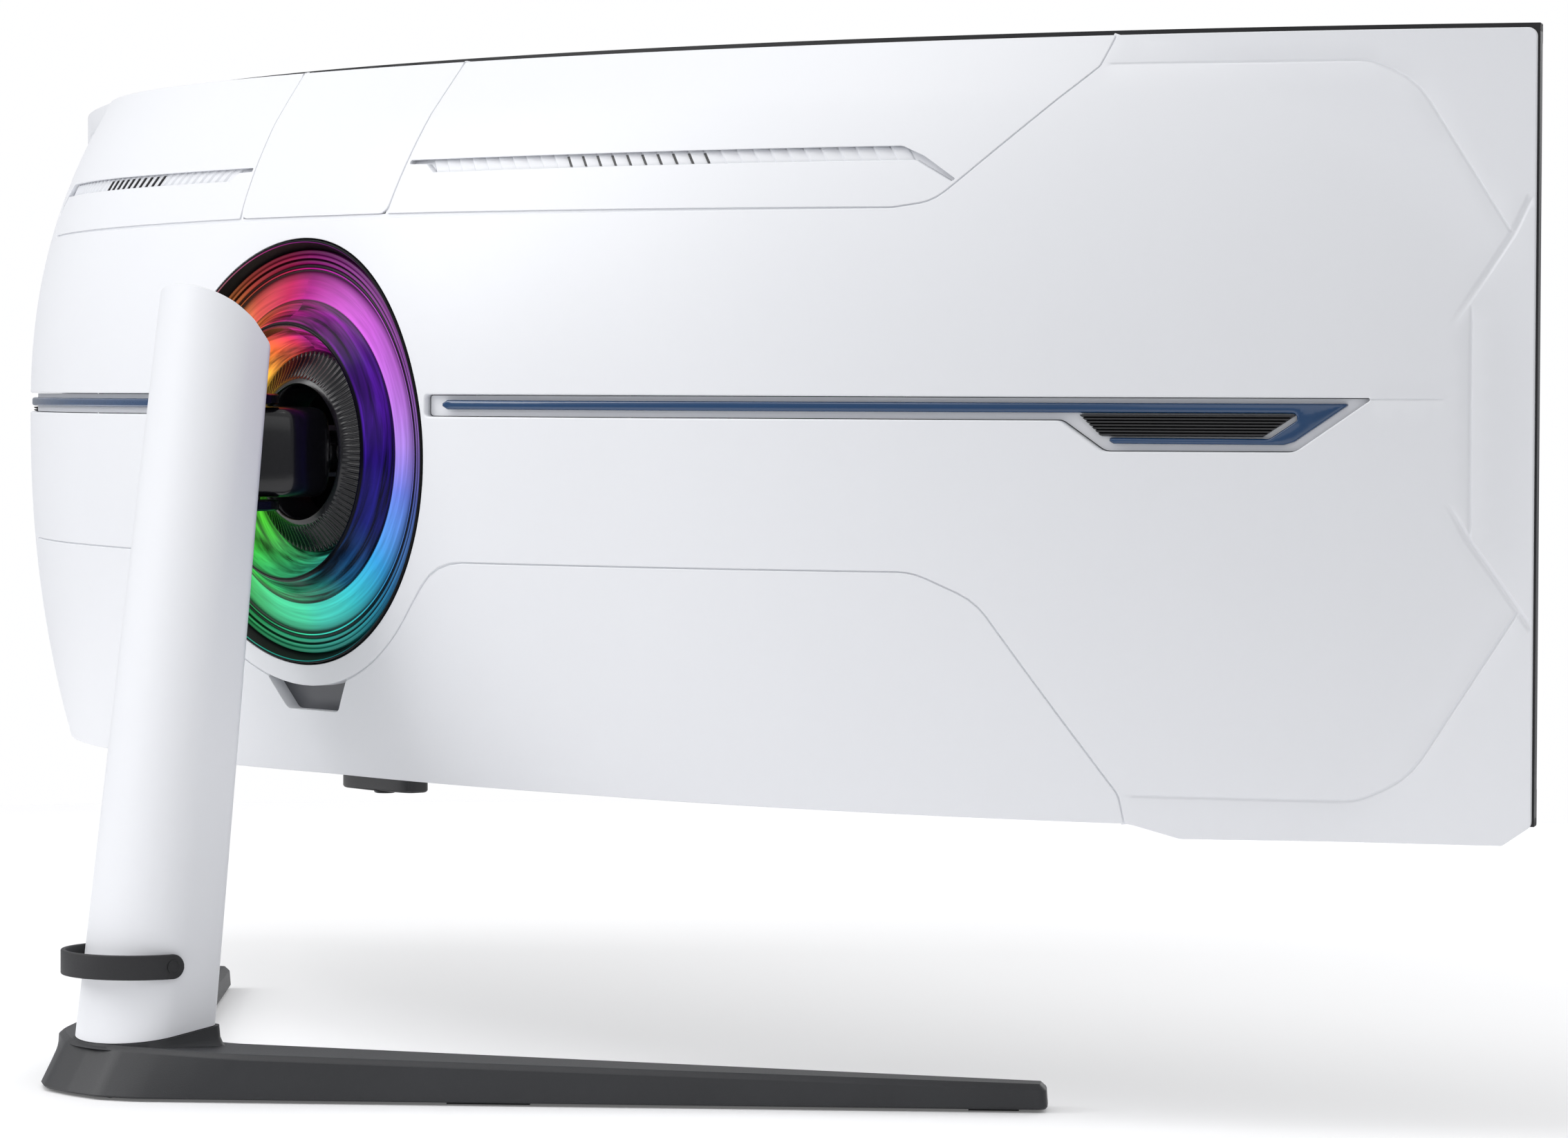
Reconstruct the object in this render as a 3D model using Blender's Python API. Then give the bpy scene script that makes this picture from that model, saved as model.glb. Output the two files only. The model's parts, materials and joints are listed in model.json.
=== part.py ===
"""A curved ultra-wide desktop monitor with its stand, as an assembly of separate pieces.

Run with blender --background --python part.py, or from Blender's text editor. Metres, +Z up.
The desk is z = 0, x = 0 is the symmetry plane, the viewer sits on the -Y side and the rear faces +Y.
The head (screen, covers, electronics) hangs on a tilt hinge, a swivel clevis and a carriage that
slides along a leaning column, which stands on a V-shaped foot.

Curved pieces are drawn unrolled: s runs along the arc of the panel, t is the depth behind the
panel's rear plane and z is the height above the panel's centre.
"""

import math

import bmesh
import bpy
from mathutils import Matrix, Vector

# ---------------------------------------------------------------- driving dimensions
GAP = 0.0003  # between two pieces that touch
PANEL_RADIUS = 1.0  # curvature of the panel
CHORD = 1.1496  # overall width
PANEL_HEIGHT = 0.3635
DEPTH = 0.418  # overall depth with the foot
PANEL_Z = 0.3275  # centre of the panel above the desk
BEZEL_FRONT = -0.012  # t of the bezel's front face
HALF_ARC = math.asin(CHORD / 2 / PANEL_RADIUS) * PANEL_RADIUS
PANEL_Y = PANEL_RADIUS - (PANEL_RADIUS + BEZEL_FRONT) * math.cos(HALF_ARC) - DEPTH / 2

GRID = 0.05  # spacing of the facets along the arc
GRID_Z = 0.03  # and up the panel
ROUND = 24  # sides of a small round piece
RING_SIDES = 44  # sides of the light ring's pieces

# rear cover
COVER_WALL = 0.0025
REAR_DEPTH = 0.092  # depth of the cover's outer face behind the panel, at its centre
SIDE_FALL = 1.04  # how fast that face falls towards the panel along the width
SIDE_POWER = 2.46
TOP_DROP = 0.055  # how far it falls from the centre to the top edge
TOP_DROP_AT = 0.178
TOP_POWER = 2.3
BOTTOM_DROP = 0.0235
BOTTOM_DROP_AT = 0.170
BOTTOM_POWER = 2.2
EDGE_DEPTH = 0.006  # the cover is never thinner than this
EDGE_BLEND = 0.004  # how softly the rear face runs into the thin edge
COVER_TOP = 0.1805
COVER_BOTTOM = -0.1845
COVER_END = 0.6115
LIP_BOTTOM = -0.1905  # the deeper lips under both ends

# light ring
RING_Z = -0.0166  # its centre, which is also the height of the tilt axis
RING_RADIUS = 0.1058

# stand
TILT_Y = 0.070  # tilt axis behind the panel's rear plane
SWIVEL_Y = 0.118  # swivel axis
COLUMN_HALF = 0.0335
COLUMN_ROUND = 0.025  # how far the column's rounded rear reaches behind its straight sides
COLUMN_CORNER = 0.004
COLUMN_FRONT_SLOPE = 0.0992  # the column leans forward as it rises
COLUMN_REAR_SLOPE = 0.139
COLUMN_FOOT_Z = -0.2946  # height of the column's front lower corner
COLUMN_FOOT_FRONT = 0.1607
COLUMN_FOOT_REAR = 0.2120
COLUMN_LEAN = math.atan(COLUMN_FRONT_SLOPE)
FOOT_TIP_X = 0.350
FOOT_TIP_Y = -0.094
FOOT_APEX_Y = DEPTH / 2 - PANEL_Y
FOOT_TIP_TOP = 0.0135
FOOT_HUB_TOP = 0.0245
PAD_HEIGHT = 0.0015

SIDES = ((-1, "right"), (1, "left"))  # as seen from behind


def y_of(t):
    """World y of a depth t behind the panel's rear plane at its centre."""
    return PANEL_Y + t


def z_of(z):
    """World z of a height above the panel's centre."""
    return PANEL_Z + z


# ---------------------------------------------------------------- materials
def material(name, colour, roughness, metallic=0.0):
    made = bpy.data.materials.get(name)
    if made:
        return made
    made = bpy.data.materials.new(name)
    made.use_nodes = True
    shader = made.node_tree.nodes["Principled BSDF"]
    shader.inputs["Base Color"].default_value = (*colour, 1.0)
    shader.inputs["Roughness"].default_value = roughness
    shader.inputs["Metallic"].default_value = metallic
    made.diffuse_color = (*colour, 1.0)
    return made


FINISHES = {
    "white_plastic": ((0.86, 0.87, 0.90), 0.35, 0.0),
    "black_plastic": ((0.02, 0.02, 0.022), 0.45, 0.0),
    "blue_trim": ((0.03, 0.10, 0.22), 0.3, 0.3),
    "ring_lens": ((0.10, 0.12, 0.16), 0.08, 0.0),
    "screen_glass": ((0.01, 0.01, 0.012), 0.15, 0.0),
    "diffuser": ((0.8, 0.8, 0.78), 0.5, 0.0),
    "steel": ((0.5, 0.5, 0.52), 0.35, 1.0),
    "cast_alloy": ((0.05, 0.05, 0.055), 0.4, 0.6),
    "foot_paint": ((0.045, 0.047, 0.052), 0.5, 0.2),
    "rubber": ((0.02, 0.02, 0.02), 0.8, 0.0),
    "circuit": ((0.02, 0.16, 0.07), 0.5, 0.0),
    "aluminium": ((0.6, 0.61, 0.63), 0.35, 1.0),
    "nylon": ((0.75, 0.74, 0.70), 0.5, 0.0),
}


# ---------------------------------------------------------------- making objects
def add(name, bm, finish, smooth=None):
    """Make the object NAME out of a closed bmesh, with outward faces."""
    bmesh.ops.recalc_face_normals(bm, faces=bm.faces[:])
    mesh = bpy.data.meshes.new(name)
    bm.to_mesh(mesh)
    bm.free()
    if smooth is not None:
        mesh.shade_smooth()
        mesh.set_sharp_from_angle(angle=math.radians(smooth))
    made = bpy.data.objects.new(name, mesh)
    bpy.context.collection.objects.link(made)
    if finish:
        colour, roughness, metallic = FINISHES[finish]
        mesh.materials.append(material(finish, colour, roughness, metallic))
    return made


def cutter(name, bm):
    made = add(name, bm, None)
    made.hide_render = True
    made.display_type = "WIRE"
    return made


def boolean(target, tool, operation="DIFFERENCE", solver="EXACT"):
    made = target.modifiers.new(tool.name, "BOOLEAN")
    made.operation = operation
    made.solver = solver
    made.object = tool


def trim_cover(target, tool, operation="DIFFERENCE"):
    """Cut a curved cover, whose walls share many nearly level planes with the tools."""
    boolean(target, tool, operation, "MANIFOLD")


def pivot_at(parts, name, place):
    """Parent pieces that move together to an empty on their joint's axis."""
    empty = bpy.data.objects.new(name, None)
    empty.location = place
    bpy.context.collection.objects.link(empty)
    for part in parts:
        part.parent = empty
        part.matrix_parent_inverse = Matrix.Translation(-Vector(place))
    return empty


# ---------------------------------------------------------------- plain shapes
def box_mesh(low, high, bm=None):
    """A box between two corners, given as (x, depth t, z) around the panel's centre."""
    bm = bm or bmesh.new()
    size = [high[i] - low[i] for i in range(3)]
    centre = [(high[i] + low[i]) / 2 for i in range(3)]
    place = Matrix.Translation((centre[0], y_of(centre[1]), z_of(centre[2])))
    bmesh.ops.create_cube(bm, size=1.0, matrix=place @ Matrix.Diagonal((*size, 1.0)))
    return bm


def bar_mesh(start, end, radius, sides=ROUND, radius_end=None, bm=None):
    """A round bar between two points given as (x, t, z)."""
    bm = bm or bmesh.new()
    a = Vector((start[0], y_of(start[1]), z_of(start[2])))
    b = Vector((end[0], y_of(end[1]), z_of(end[2])))
    turn = (b - a).to_track_quat("Z", "Y").to_matrix().to_4x4()
    bmesh.ops.create_cone(
        bm, cap_ends=True, segments=sides, radius1=radius,
        radius2=radius if radius_end is None else radius_end, depth=(b - a).length,
        matrix=Matrix.Translation((a + b) / 2) @ turn)
    return bm


def extruded(outline, to_world, near, far):
    """A prism: a closed 2-D outline placed by to_world(u, v, w) at w = near and w = far."""
    bm = bmesh.new()
    ends = [[bm.verts.new(to_world(u, v, w)) for u, v in outline] for w in (near, far)]
    count = len(outline)
    for i in range(count):
        j = (i + 1) % count
        bm.faces.new((ends[0][i], ends[0][j], ends[1][j], ends[1][i]))
    for loop in ends:
        bm.faces.new(loop)
    return bm


def turned(profile, sides=RING_SIDES, centre_z=RING_Z):
    """A ring about the light ring's axis: a closed profile of (radius, t), spun round +Y."""
    bm = bmesh.new()
    rows = []
    for k in range(sides):
        angle = 2 * math.pi * k / sides
        cos, sin = math.cos(angle), math.sin(angle)
        rows.append([bm.verts.new((r * cos, y_of(t), z_of(centre_z) + r * sin)) for r, t in profile])
    count = len(profile)
    for k in range(sides):
        a, b = rows[k], rows[(k + 1) % sides]
        for i in range(count):
            j = (i + 1) % count
            bm.faces.new((a[i], a[j], b[j], b[i]))
    return bm


def arc_points(centre, radius, first, last, steps):
    """Points on an arc, angles in degrees; radius may be a pair for an ellipse."""
    wide, deep = radius if isinstance(radius, tuple) else (radius, radius)
    angles = [math.radians(first + (last - first) * i / steps) for i in range(steps + 1)]
    return [(centre[0] + wide * math.cos(a), centre[1] + deep * math.sin(a)) for a in angles]


def mirrored(half):
    """Close an outline that was drawn for s > 0, from its top to its bottom, across s = 0."""
    return half + [(-s, z) for s, z in reversed(half)]


# ---------------------------------------------------------------- curved shapes
def on_panel(s, t, z):
    angle = s / PANEL_RADIUS
    reach = PANEL_RADIUS + t
    return Vector((reach * math.sin(angle), PANEL_Y - PANEL_RADIUS + reach * math.cos(angle), z_of(z)))


def rear_face(x, z):
    """Depth of the rear cover's outer face at the width x and the height z, seen along Y."""
    if z > 0:
        drop = TOP_DROP * (z / TOP_DROP_AT) ** TOP_POWER
    else:
        drop = BOTTOM_DROP * (-z / BOTTOM_DROP_AT) ** BOTTOM_POWER
    return REAR_DEPTH - SIDE_FALL * abs(x) ** SIDE_POWER - drop


def bulge(s, z):
    """Depth of that face measured from the curved panel, found by repeated substitution."""
    angle = abs(s) / PANEL_RADIUS
    t = EDGE_DEPTH
    for _ in range(12):
        x = (PANEL_RADIUS + t) * math.sin(angle)
        t = (t + (PANEL_RADIUS + rear_face(x, z)) / math.cos(angle) - PANEL_RADIUS) / 2
    over = t - EDGE_DEPTH
    return EDGE_DEPTH + (over + math.sqrt(over * over + EDGE_BLEND ** 2)) / 2


def slab(outline, low, high, grid=GRID, grid_z=GRID_Z):
    """A curved plate: an outline in (s, z), between the depths low(s, z) and high(s, z)."""
    flat = bmesh.new()
    flat.faces.new([flat.verts.new((s, z, 0.0)) for s, z in outline])
    for axis, step in ((0, grid), (1, grid_z)):
        values = [point[axis] for point in outline]
        for k in range(math.ceil(min(values) / step), math.floor(max(values) / step) + 1):
            normal = [0.0, 0.0, 0.0]
            normal[axis] = 1.0
            bmesh.ops.bisect_plane(
                flat, geom=flat.verts[:] + flat.edges[:] + flat.faces[:], dist=1e-6,
                plane_co=[n * k * step for n in normal], plane_no=normal)
    bmesh.ops.triangulate(flat, faces=flat.faces[:])
    bm = bmesh.new()
    sides = []
    for depth in (low, high):
        depth_at = depth if callable(depth) else (lambda s, z, t=depth: t)
        sides.append({v: bm.verts.new(on_panel(v.co.x, depth_at(v.co.x, v.co.y), v.co.y))
                      for v in flat.verts})
    for face in flat.faces:
        for side in sides:
            bm.faces.new([side[v] for v in face.verts])
    for edge in flat.edges:
        if edge.is_boundary:
            a, b = edge.verts
            bm.faces.new((sides[0][a], sides[0][b], sides[1][b], sides[1][a]))
    flat.free()
    return bm


def rectangle(half_s, low_z, high_z):
    return [(half_s, high_z), (half_s, low_z), (-half_s, low_z), (-half_s, high_z)]


# ---------------------------------------------------------------- screen
WINDOW_S = HALF_ARC - 0.0095
WINDOW_TOP = PANEL_HEIGHT / 2 - 0.009
WINDOW_BOTTOM = -PANEL_HEIGHT / 2 + 0.0165
POCKET_S = HALF_ARC - 0.004
POCKET_Z = PANEL_HEIGHT / 2 - 0.0037


def screen_layer(name, front, back, finish):
    inset = 2 * GAP
    outline = rectangle(POCKET_S - inset, -POCKET_Z + inset, POCKET_Z - inset)
    return add(name, slab(outline, front, back, grid_z=PANEL_HEIGHT), finish)


def screen():
    half = PANEL_HEIGHT / 2
    bezel = add("front_bezel", slab(rectangle(HALF_ARC, -half, half), BEZEL_FRONT, -GAP,
                                    grid_z=PANEL_HEIGHT), "black_plastic")
    window = rectangle(WINDOW_S, WINDOW_BOTTOM, WINDOW_TOP)
    boolean(bezel, cutter("cut_window", slab(window, -0.02, 0.01, grid_z=PANEL_HEIGHT)))
    pocket = rectangle(POCKET_S, -POCKET_Z, POCKET_Z)
    boolean(bezel, cutter("cut_pocket", slab(pocket, BEZEL_FRONT + 0.0012, 0.01, grid_z=PANEL_HEIGHT)))
    return [
        bezel,
        screen_layer("lcd_panel", -0.0105, -0.0085, "screen_glass"),
        screen_layer("led_backlight", -0.0082, -0.0052, "diffuser"),
        screen_layer("backlight_tray", -0.0049, -0.0034, "steel"),
    ]


# ---------------------------------------------------------------- rear covers
def cover_outline(inset=0.0):
    half = [
        (COVER_END - inset, COVER_TOP - inset),
        (COVER_END - inset, -0.1810 + inset),
        (0.598 - inset, LIP_BOTTOM + inset),
        (0.452 + inset, LIP_BOTTOM + inset),
        (0.432 + inset, COVER_BOTTOM + inset),
    ]
    return mirrored(half)


def cover_shell(name, finish="white_plastic"):
    """The whole hollow rear cover, which each cover piece takes its part of."""
    shell = add(name, slab(cover_outline(), 0.0, bulge), finish, smooth=30)
    trim_cover(shell, HOLLOW)
    return shell


def top_region(grow=0.0):
    """Outline of the three covers along the top, in (s, z)."""
    half = [(0.4125, 0.1775), (0.409, 0.165), (0.354, 0.111), (0.343, 0.104), (0.330, 0.102)]
    shift = [(-grow, -grow), (-grow, 0.0), (-grow, grow), (-grow / 2, grow), (0.0, grow)]
    return mirrored([(s + a, z + b) for (s, z), (a, b) in zip(half, shift)])


CROSS_LOW = 0.0575  # half width of the middle top cover at its lower edge
CROSS_HIGH = 0.0635  # and at its upper edge


def port_region(grow=0.0):
    """Outline of the removable cover over the ports, in (s, z)."""
    half = [
        (0.0, -0.127), (0.016, -0.127), (0.036, -0.121), (0.052, -0.112), (0.084, -0.084),
        (0.095, -0.0765), (0.113, -0.069), (0.338, -0.069), (0.356, -0.073), (0.370, -0.082),
        (0.428, -0.168), (0.428, -0.1815), (0.0, -0.1815),
    ]
    inside = [
        (0.0, -1.0), (0.0, -1.0), (0.5, -1.0), (0.7, -1.0), (0.7, -1.0),
        (0.5, -1.0), (0.2, -1.0), (-0.2, -1.0), (-0.5, -1.0), (-0.8, -0.8),
        (-1.0, 0.0), (-1.0, 1.0), (0.0, 1.0),
    ]
    placed = [(s + a * grow, z + b * grow) for (s, z), (a, b) in zip(half, inside)]
    return placed + [(-s, z) for s, z in reversed(placed[1:-1])]


def deep(s, z):
    return bulge(s, z) - 0.008


def proud(s, z):
    return bulge(s, z) + 0.012


RECESS_START = 0.0985  # the recess begins beside the light ring
RECESS_LOW = 0.0020
RECESS_HIGH = 0.0118
STRIP_START = 0.1050
STRIP_LOW = 0.0051
STRIP_HIGH = 0.0095


def vent_outline(side):
    points = [(0.0800, 0.1210), (0.3385, 0.1215), (0.3300, 0.1275), (0.0720, 0.1262)]
    return [(side * s, z) for s, z in points]


def recess_outline(side):
    """The recess for the accent strip and, at its outer end, the side vent."""
    points = [
        (RECESS_START, RECESS_LOW), (0.4096, RECESS_LOW), (0.4290, -0.0120), (0.5090, -0.0120),
        (0.5394, 0.0107), (0.5385, RECESS_HIGH), (RECESS_START, RECESS_HIGH),
    ]
    return [(side * s, z) for s, z in points]


def strip_outline(side):
    """The blue strip: a long bar that folds back under the side vent."""
    points = [
        (STRIP_START, STRIP_LOW), (0.5150, STRIP_LOW), (0.4985, -0.0063), (0.4300, -0.0063),
        (0.4310, -0.0088), (0.5045, -0.0090), (0.5312, STRIP_HIGH), (STRIP_START, STRIP_HIGH),
    ]
    return [(side * s, z) for s, z in points]


def grille_outline(side, inset=0.0):
    points = [(0.4170, 0.0044), (0.5090, 0.0044), (0.4945, -0.0057), (0.4265, -0.0057)]
    shift = [(inset, -inset), (-1.6 * inset, -inset), (-inset, inset), (inset, inset)]
    return [(side * (s + a), z + b) for (s, z), (a, b) in zip(points, shift)]


RECESS_DEPTH = 0.0016


def recess_floor(s, z):
    return bulge(s, z) - RECESS_DEPTH


def rear_covers():
    made = []
    rear = cover_shell("rear_cover")
    made.append(rear)
    trim_cover(rear, cutter("cut_top_covers", slab(top_region(), deep, proud)))
    trim_cover(rear, cutter("cut_port_cover", slab(port_region(), deep, proud)))
    bore = bar_mesh((0, 0.03, RING_Z), (0, 0.13, RING_Z), RING_RADIUS + 2 * GAP, RING_SIDES)
    trim_cover(rear, cutter("cut_ring", bore))
    pod_hole = box_mesh((-POD_HALF - GAP, POD_NEAR - GAP, -0.195), (POD_HALF + GAP, POD_FAR + GAP, -0.180))
    trim_cover(rear, cutter("cut_pod", pod_hole))
    for side, word in SIDES:
        trim_cover(rear, cutter(f"cut_recess_{word}", slab(recess_outline(side), recess_floor, proud)))
        trim_cover(rear, cutter(f"cut_grille_{word}", slab(grille_outline(side), deep, proud)))

    port = cover_shell("port_cover")
    trim_cover(port, cutter("keep_port_cover", slab(port_region(GAP), deep, proud)), "INTERSECT")
    notch = [(0.0305, -0.1315), (0.0195, -0.149), (-0.0195, -0.149), (-0.0305, -0.1315)]
    trim_cover(port, cutter("cut_cable_outlet", slab(notch, deep, proud)))
    made.append(port)

    top = [point for point in top_region(GAP) if point[0] > 0]
    outer = [(CROSS_HIGH + GAP, top[0][1])] + top + [(CROSS_LOW + GAP, top[-1][1])]
    for side, word in SIDES:
        cover = cover_shell(f"top_cover_{word}")
        region = [(side * s, z) for s, z in outer]
        trim_cover(cover, cutter(f"keep_top_{word}", slab(region, deep, proud)), "INTERSECT")
        trim_cover(cover, cutter(f"cut_vent_{word}", slab(vent_outline(side), recess_floor, proud)))
        made.append(cover)
    middle = cover_shell("top_cover_middle")
    high, low = top[0][1], top[-1][1]
    region = [(CROSS_HIGH, high), (CROSS_LOW, low), (-CROSS_LOW, low), (-CROSS_HIGH, high)]
    trim_cover(middle, cutter("keep_top_middle", slab(region, deep, proud)), "INTERSECT")
    made.append(middle)
    return made


GRILLE_BACK = 0.0045  # how deep the side grille sits behind the cover's face
GRILLE_FRONT = 0.0010


def trim():
    made = []
    for side, word in SIDES:
        strip = slab(strip_outline(side), lambda s, z: recess_floor(s, z) + GAP,
                     lambda s, z: bulge(s, z) - 0.0001)
        made.append(add(f"accent_strip_{word}", strip, "blue_trim", smooth=30))
        grille = add(f"side_grille_{word}", slab(grille_outline(side, GAP),
                                                 lambda s, z: bulge(s, z) - GRILLE_BACK,
                                                 lambda s, z: bulge(s, z) - GRILLE_FRONT), "black_plastic")
        made.append(grille)
    return made


# ---------------------------------------------------------------- light ring and hub
def light_ring():
    rim = [(RING_RADIUS, 0.0920), (RING_RADIUS, 0.0560), (RING_RADIUS - 0.0015, 0.0560),
           (RING_RADIUS - 0.0015, 0.0905), (RING_RADIUS - 0.0025, 0.0920)]
    outer = [(0.1035, 0.0900), (0.0880, 0.0835), (0.0756, 0.0750), (0.0710, 0.0800), (0.0655, 0.0965),
             (0.0640, 0.0982), (0.0622, 0.0978), (0.0560, 0.0830), (0.0512, 0.0772)]
    wall = 0.0018
    inner = [(r, t - wall) for r, t in reversed(outer)]
    inner = [(r + (0.0012 if r < 0.0645 and t > 0.078 else 0.0), t) for r, t in inner]
    return [
        add("ring_rim", turned(rim), "black_plastic", smooth=30),
        add("light_lens", turned(outer + inner), "ring_lens", smooth=40),
        add("ring_led_board", turned([(0.1000, 0.0596), (0.1000, 0.0580), (0.0720, 0.0580), (0.0720, 0.0596)]),
            "circuit", smooth=30),
        add("ring_housing", turned([(0.1040, 0.0700), (0.1040, 0.0545), (0.0480, 0.0545), (0.0480, 0.0570),
                                    (0.1022, 0.0570), (0.1022, 0.0700)]), "black_plastic", smooth=30),
        add("hub_collar", turned([(0.0500, 0.0770), (0.0500, 0.0575), (0.0420, 0.0575), (0.0420, 0.0800),
                                  (0.0350, 0.0925), (0.0356, 0.0940), (0.0374, 0.0940), (0.0395, 0.0920),
                                  (0.0450, 0.0815)]), "black_plastic", smooth=30),
    ]


# ---------------------------------------------------------------- mounting inside the head
VESA_HALF = 0.050
SCREW_HOLE = 0.0024
SCREW_SHANK = 0.0020


def four_corners():
    return [(x, z) for x in (-VESA_HALF, VESA_HALF) for z in (RING_Z + VESA_HALF, RING_Z - VESA_HALF)]


def mount_parts():
    hat = [(-0.100, 0.0020), (-0.100, 0.0005), (-0.083, 0.0005), (-0.083, 0.0325), (0.083, 0.0325),
           (0.083, 0.0005), (0.100, 0.0005), (0.100, 0.0020), (0.0845, 0.0020), (0.0845, 0.0345),
           (-0.0845, 0.0345), (-0.0845, 0.0020)]
    frame = add("mount_frame", extruded(hat, lambda u, v, w: (u, y_of(v), z_of(w)), RING_Z - 0.062,
                                        RING_Z + 0.062), "steel")
    plate = add("mount_plate", box_mesh((-0.058, 0.0348, RING_Z - 0.058), (0.058, 0.0378, RING_Z + 0.058)),
                "steel")
    bracket_outline = [(-0.034, 0.0381), (0.034, 0.0381), (0.034, 0.0411), (0.0285, 0.0411), (0.0285, 0.0780),
                       (0.0245, 0.0780), (0.0245, 0.0411), (-0.0245, 0.0411), (-0.0245, 0.0780),
                       (-0.0285, 0.0780), (-0.0285, 0.0411), (-0.034, 0.0411)]
    bracket = add("tilt_bracket", extruded(bracket_outline, lambda u, v, w: (u, y_of(v), z_of(w)),
                                           RING_Z - 0.013, RING_Z + 0.013), "steel")
    boolean(bracket, cutter("cut_tilt_bore", bar_mesh((-0.05, TILT_Y, RING_Z), (0.05, TILT_Y, RING_Z),
                                                      SHAFT_RADIUS + GAP)))
    made = [frame, plate, bracket]
    for index, (x, z) in enumerate(four_corners(), 1):
        hole = cutter(f"cut_mount_hole_{index}", bar_mesh((x, 0.030, z), (x, 0.040, z), SCREW_HOLE, 16))
        boolean(frame, hole)
        boolean(plate, hole)
        screw = bar_mesh((x, 0.0290, z), (x, 0.0395, z), SCREW_SHANK, 16)
        made.append(with_head(f"mount_screw_{index}", screw, bar_mesh((x, 0.0381, z), (x, 0.0406, z), 0.0040, 16)))
    return made


def with_head(name, shank, head, finish="steel"):
    screw = add(name, shank, finish, smooth=30)
    boolean(screw, cutter(f"{name}_head", head), "UNION")
    return screw


# ---------------------------------------------------------------- electronics
def board_frame(s, t, z):
    """Turn and place a flat piece so that it is tangent to the panel at s."""
    centre = on_panel(s, t, z)
    return Matrix.Translation(centre) @ Matrix.Rotation(-s / PANEL_RADIUS, 4, "Z")


def block(bm, frame, low, high):
    size = [high[i] - low[i] for i in range(3)]
    centre = [(high[i] + low[i]) / 2 for i in range(3)]
    bmesh.ops.create_cube(bm, size=1.0, matrix=frame @ Matrix.Translation(centre) @ Matrix.Diagonal((*size, 1.0)))
    return bm


def board(name, s, z, half_wide, half_high, lumps):
    """A circuit board with its tall components, each as (x, z, half width, half height, tall)."""
    frame = board_frame(s, 0.012, z)
    made = add(name, block(bmesh.new(), frame, (-half_wide, 0.0, -half_high), (half_wide, 0.0016, half_high)),
               "circuit")
    for index, (x, up, wide, high, tall) in enumerate(lumps, 1):
        lump = block(bmesh.new(), frame, (x - wide, 0.0008, up - high), (x + wide, 0.0016 + tall, up + high))
        boolean(made, cutter(f"{name}_lump_{index}", lump), "UNION")
    return made


def electronics():
    made = [
        board("main_board", -0.235, -0.020, 0.080, 0.055,
              [(0.030, 0.030, 0.012, 0.009, 0.006), (-0.055, 0.035, 0.009, 0.009, 0.005)]),
        board("power_board", 0.245, -0.015, 0.090, 0.055,
              [(-0.050, 0.015, 0.022, 0.024, 0.024), (0.020, -0.025, 0.018, 0.016, 0.020),
               (0.062, 0.018, 0.009, 0.022, 0.022)]),
        board("led_driver_board", 0.250, 0.085, 0.075, 0.028, [(-0.020, 0.0, 0.010, 0.010, 0.010)]),
    ]
    frame = board_frame(-0.235, 0.012, -0.020)
    comb = [(-0.030, 0.0019), (0.030, 0.0019)]
    fins, pitch = 7, 0.060 / 6.5
    for k in range(fins):
        right = 0.030 - k * pitch
        comb += [(right, 0.0180), (right - pitch / 2, 0.0180)]
        if k < fins - 1:
            comb += [(right - pitch / 2, 0.0050), (right - pitch, 0.0050)]
    sink = extruded(comb, lambda u, v, w: frame @ Vector((u, v, w)), -0.045, 0.010)
    made.append(add("heat_sink", sink, "aluminium"))

    ports = board_frame(-0.180, 0.030, -0.100)
    body = block(bmesh.new(), ports, (-0.075, 0.0, -0.006), (0.075, 0.022, 0.014))
    block_made = add("port_block", body, "black_plastic")
    for index, (x, half) in enumerate(PORTS, 1):
        hole = block(bmesh.new(), ports, (x - half, 0.007, -0.010), (x + half, 0.007 + PORT_DEEP, 0.010))
        boolean(block_made, cutter(f"cut_port_{index}", hole))
    made.append(block_made)

    inlet = board_frame(0.180, 0.030, -0.100)
    socket = add("power_inlet", block(bmesh.new(), inlet, (-0.016, 0.0, -0.008), (0.016, 0.026, 0.020)),
                 "black_plastic")
    mouth = block(bmesh.new(), inlet, (-0.0125, 0.0045, -0.012), (0.0125, 0.0215, 0.012))
    boolean(socket, cutter("cut_inlet", mouth))
    made.append(socket)
    return made


PORT_DEEP = 0.0065
PORTS = [(-0.058, 0.0085), (-0.030, 0.0085), (0.0, 0.0090), (0.028, 0.0065), (0.056, 0.0065)]


# ---------------------------------------------------------------- control pod and jog button
POD_HALF = 0.029
POD_NEAR = 0.026
POD_FAR = 0.042
POD_BOTTOM = -0.1880
JOG_Y = (POD_NEAR + POD_FAR) / 2
JOG_POCKET = 0.0075
JOG_PIVOT_Z = -0.1815


def control_pod():
    pod = add("control_pod", box_mesh((-POD_HALF, POD_NEAR, POD_BOTTOM), (POD_HALF, POD_FAR, -0.1720)),
              "black_plastic")
    pocket = bar_mesh((0, JOG_Y, -0.195), (0, JOG_Y, -0.1780), JOG_POCKET)
    boolean(pod, cutter("cut_jog_pocket", pocket))
    stem = add("jog_stem", bar_mesh((0, JOG_Y, -0.1790), (0, JOG_Y, -0.1832), 0.0030, 16), "nylon", smooth=30)
    rocker = add("jog_rocker", bar_mesh((0, JOG_Y, -0.1835), (0, JOG_Y, -0.1855), 0.0045, 16), "nylon", smooth=30)
    cap = add("jog_cap", bar_mesh((0, JOG_Y, -0.1861), (0, JOG_Y, -0.1895), 0.0060, ROUND, 0.0052),
              "black_plastic", smooth=30)
    pivot = (0, y_of(JOG_Y), z_of(JOG_PIVOT_Z))
    for part, name in ((stem, "jog_press_axis"), (rocker, "jog_side_axis"), (cap, "jog_depth_axis")):
        pivot_at([part], name, pivot)
    return [pod]


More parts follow.
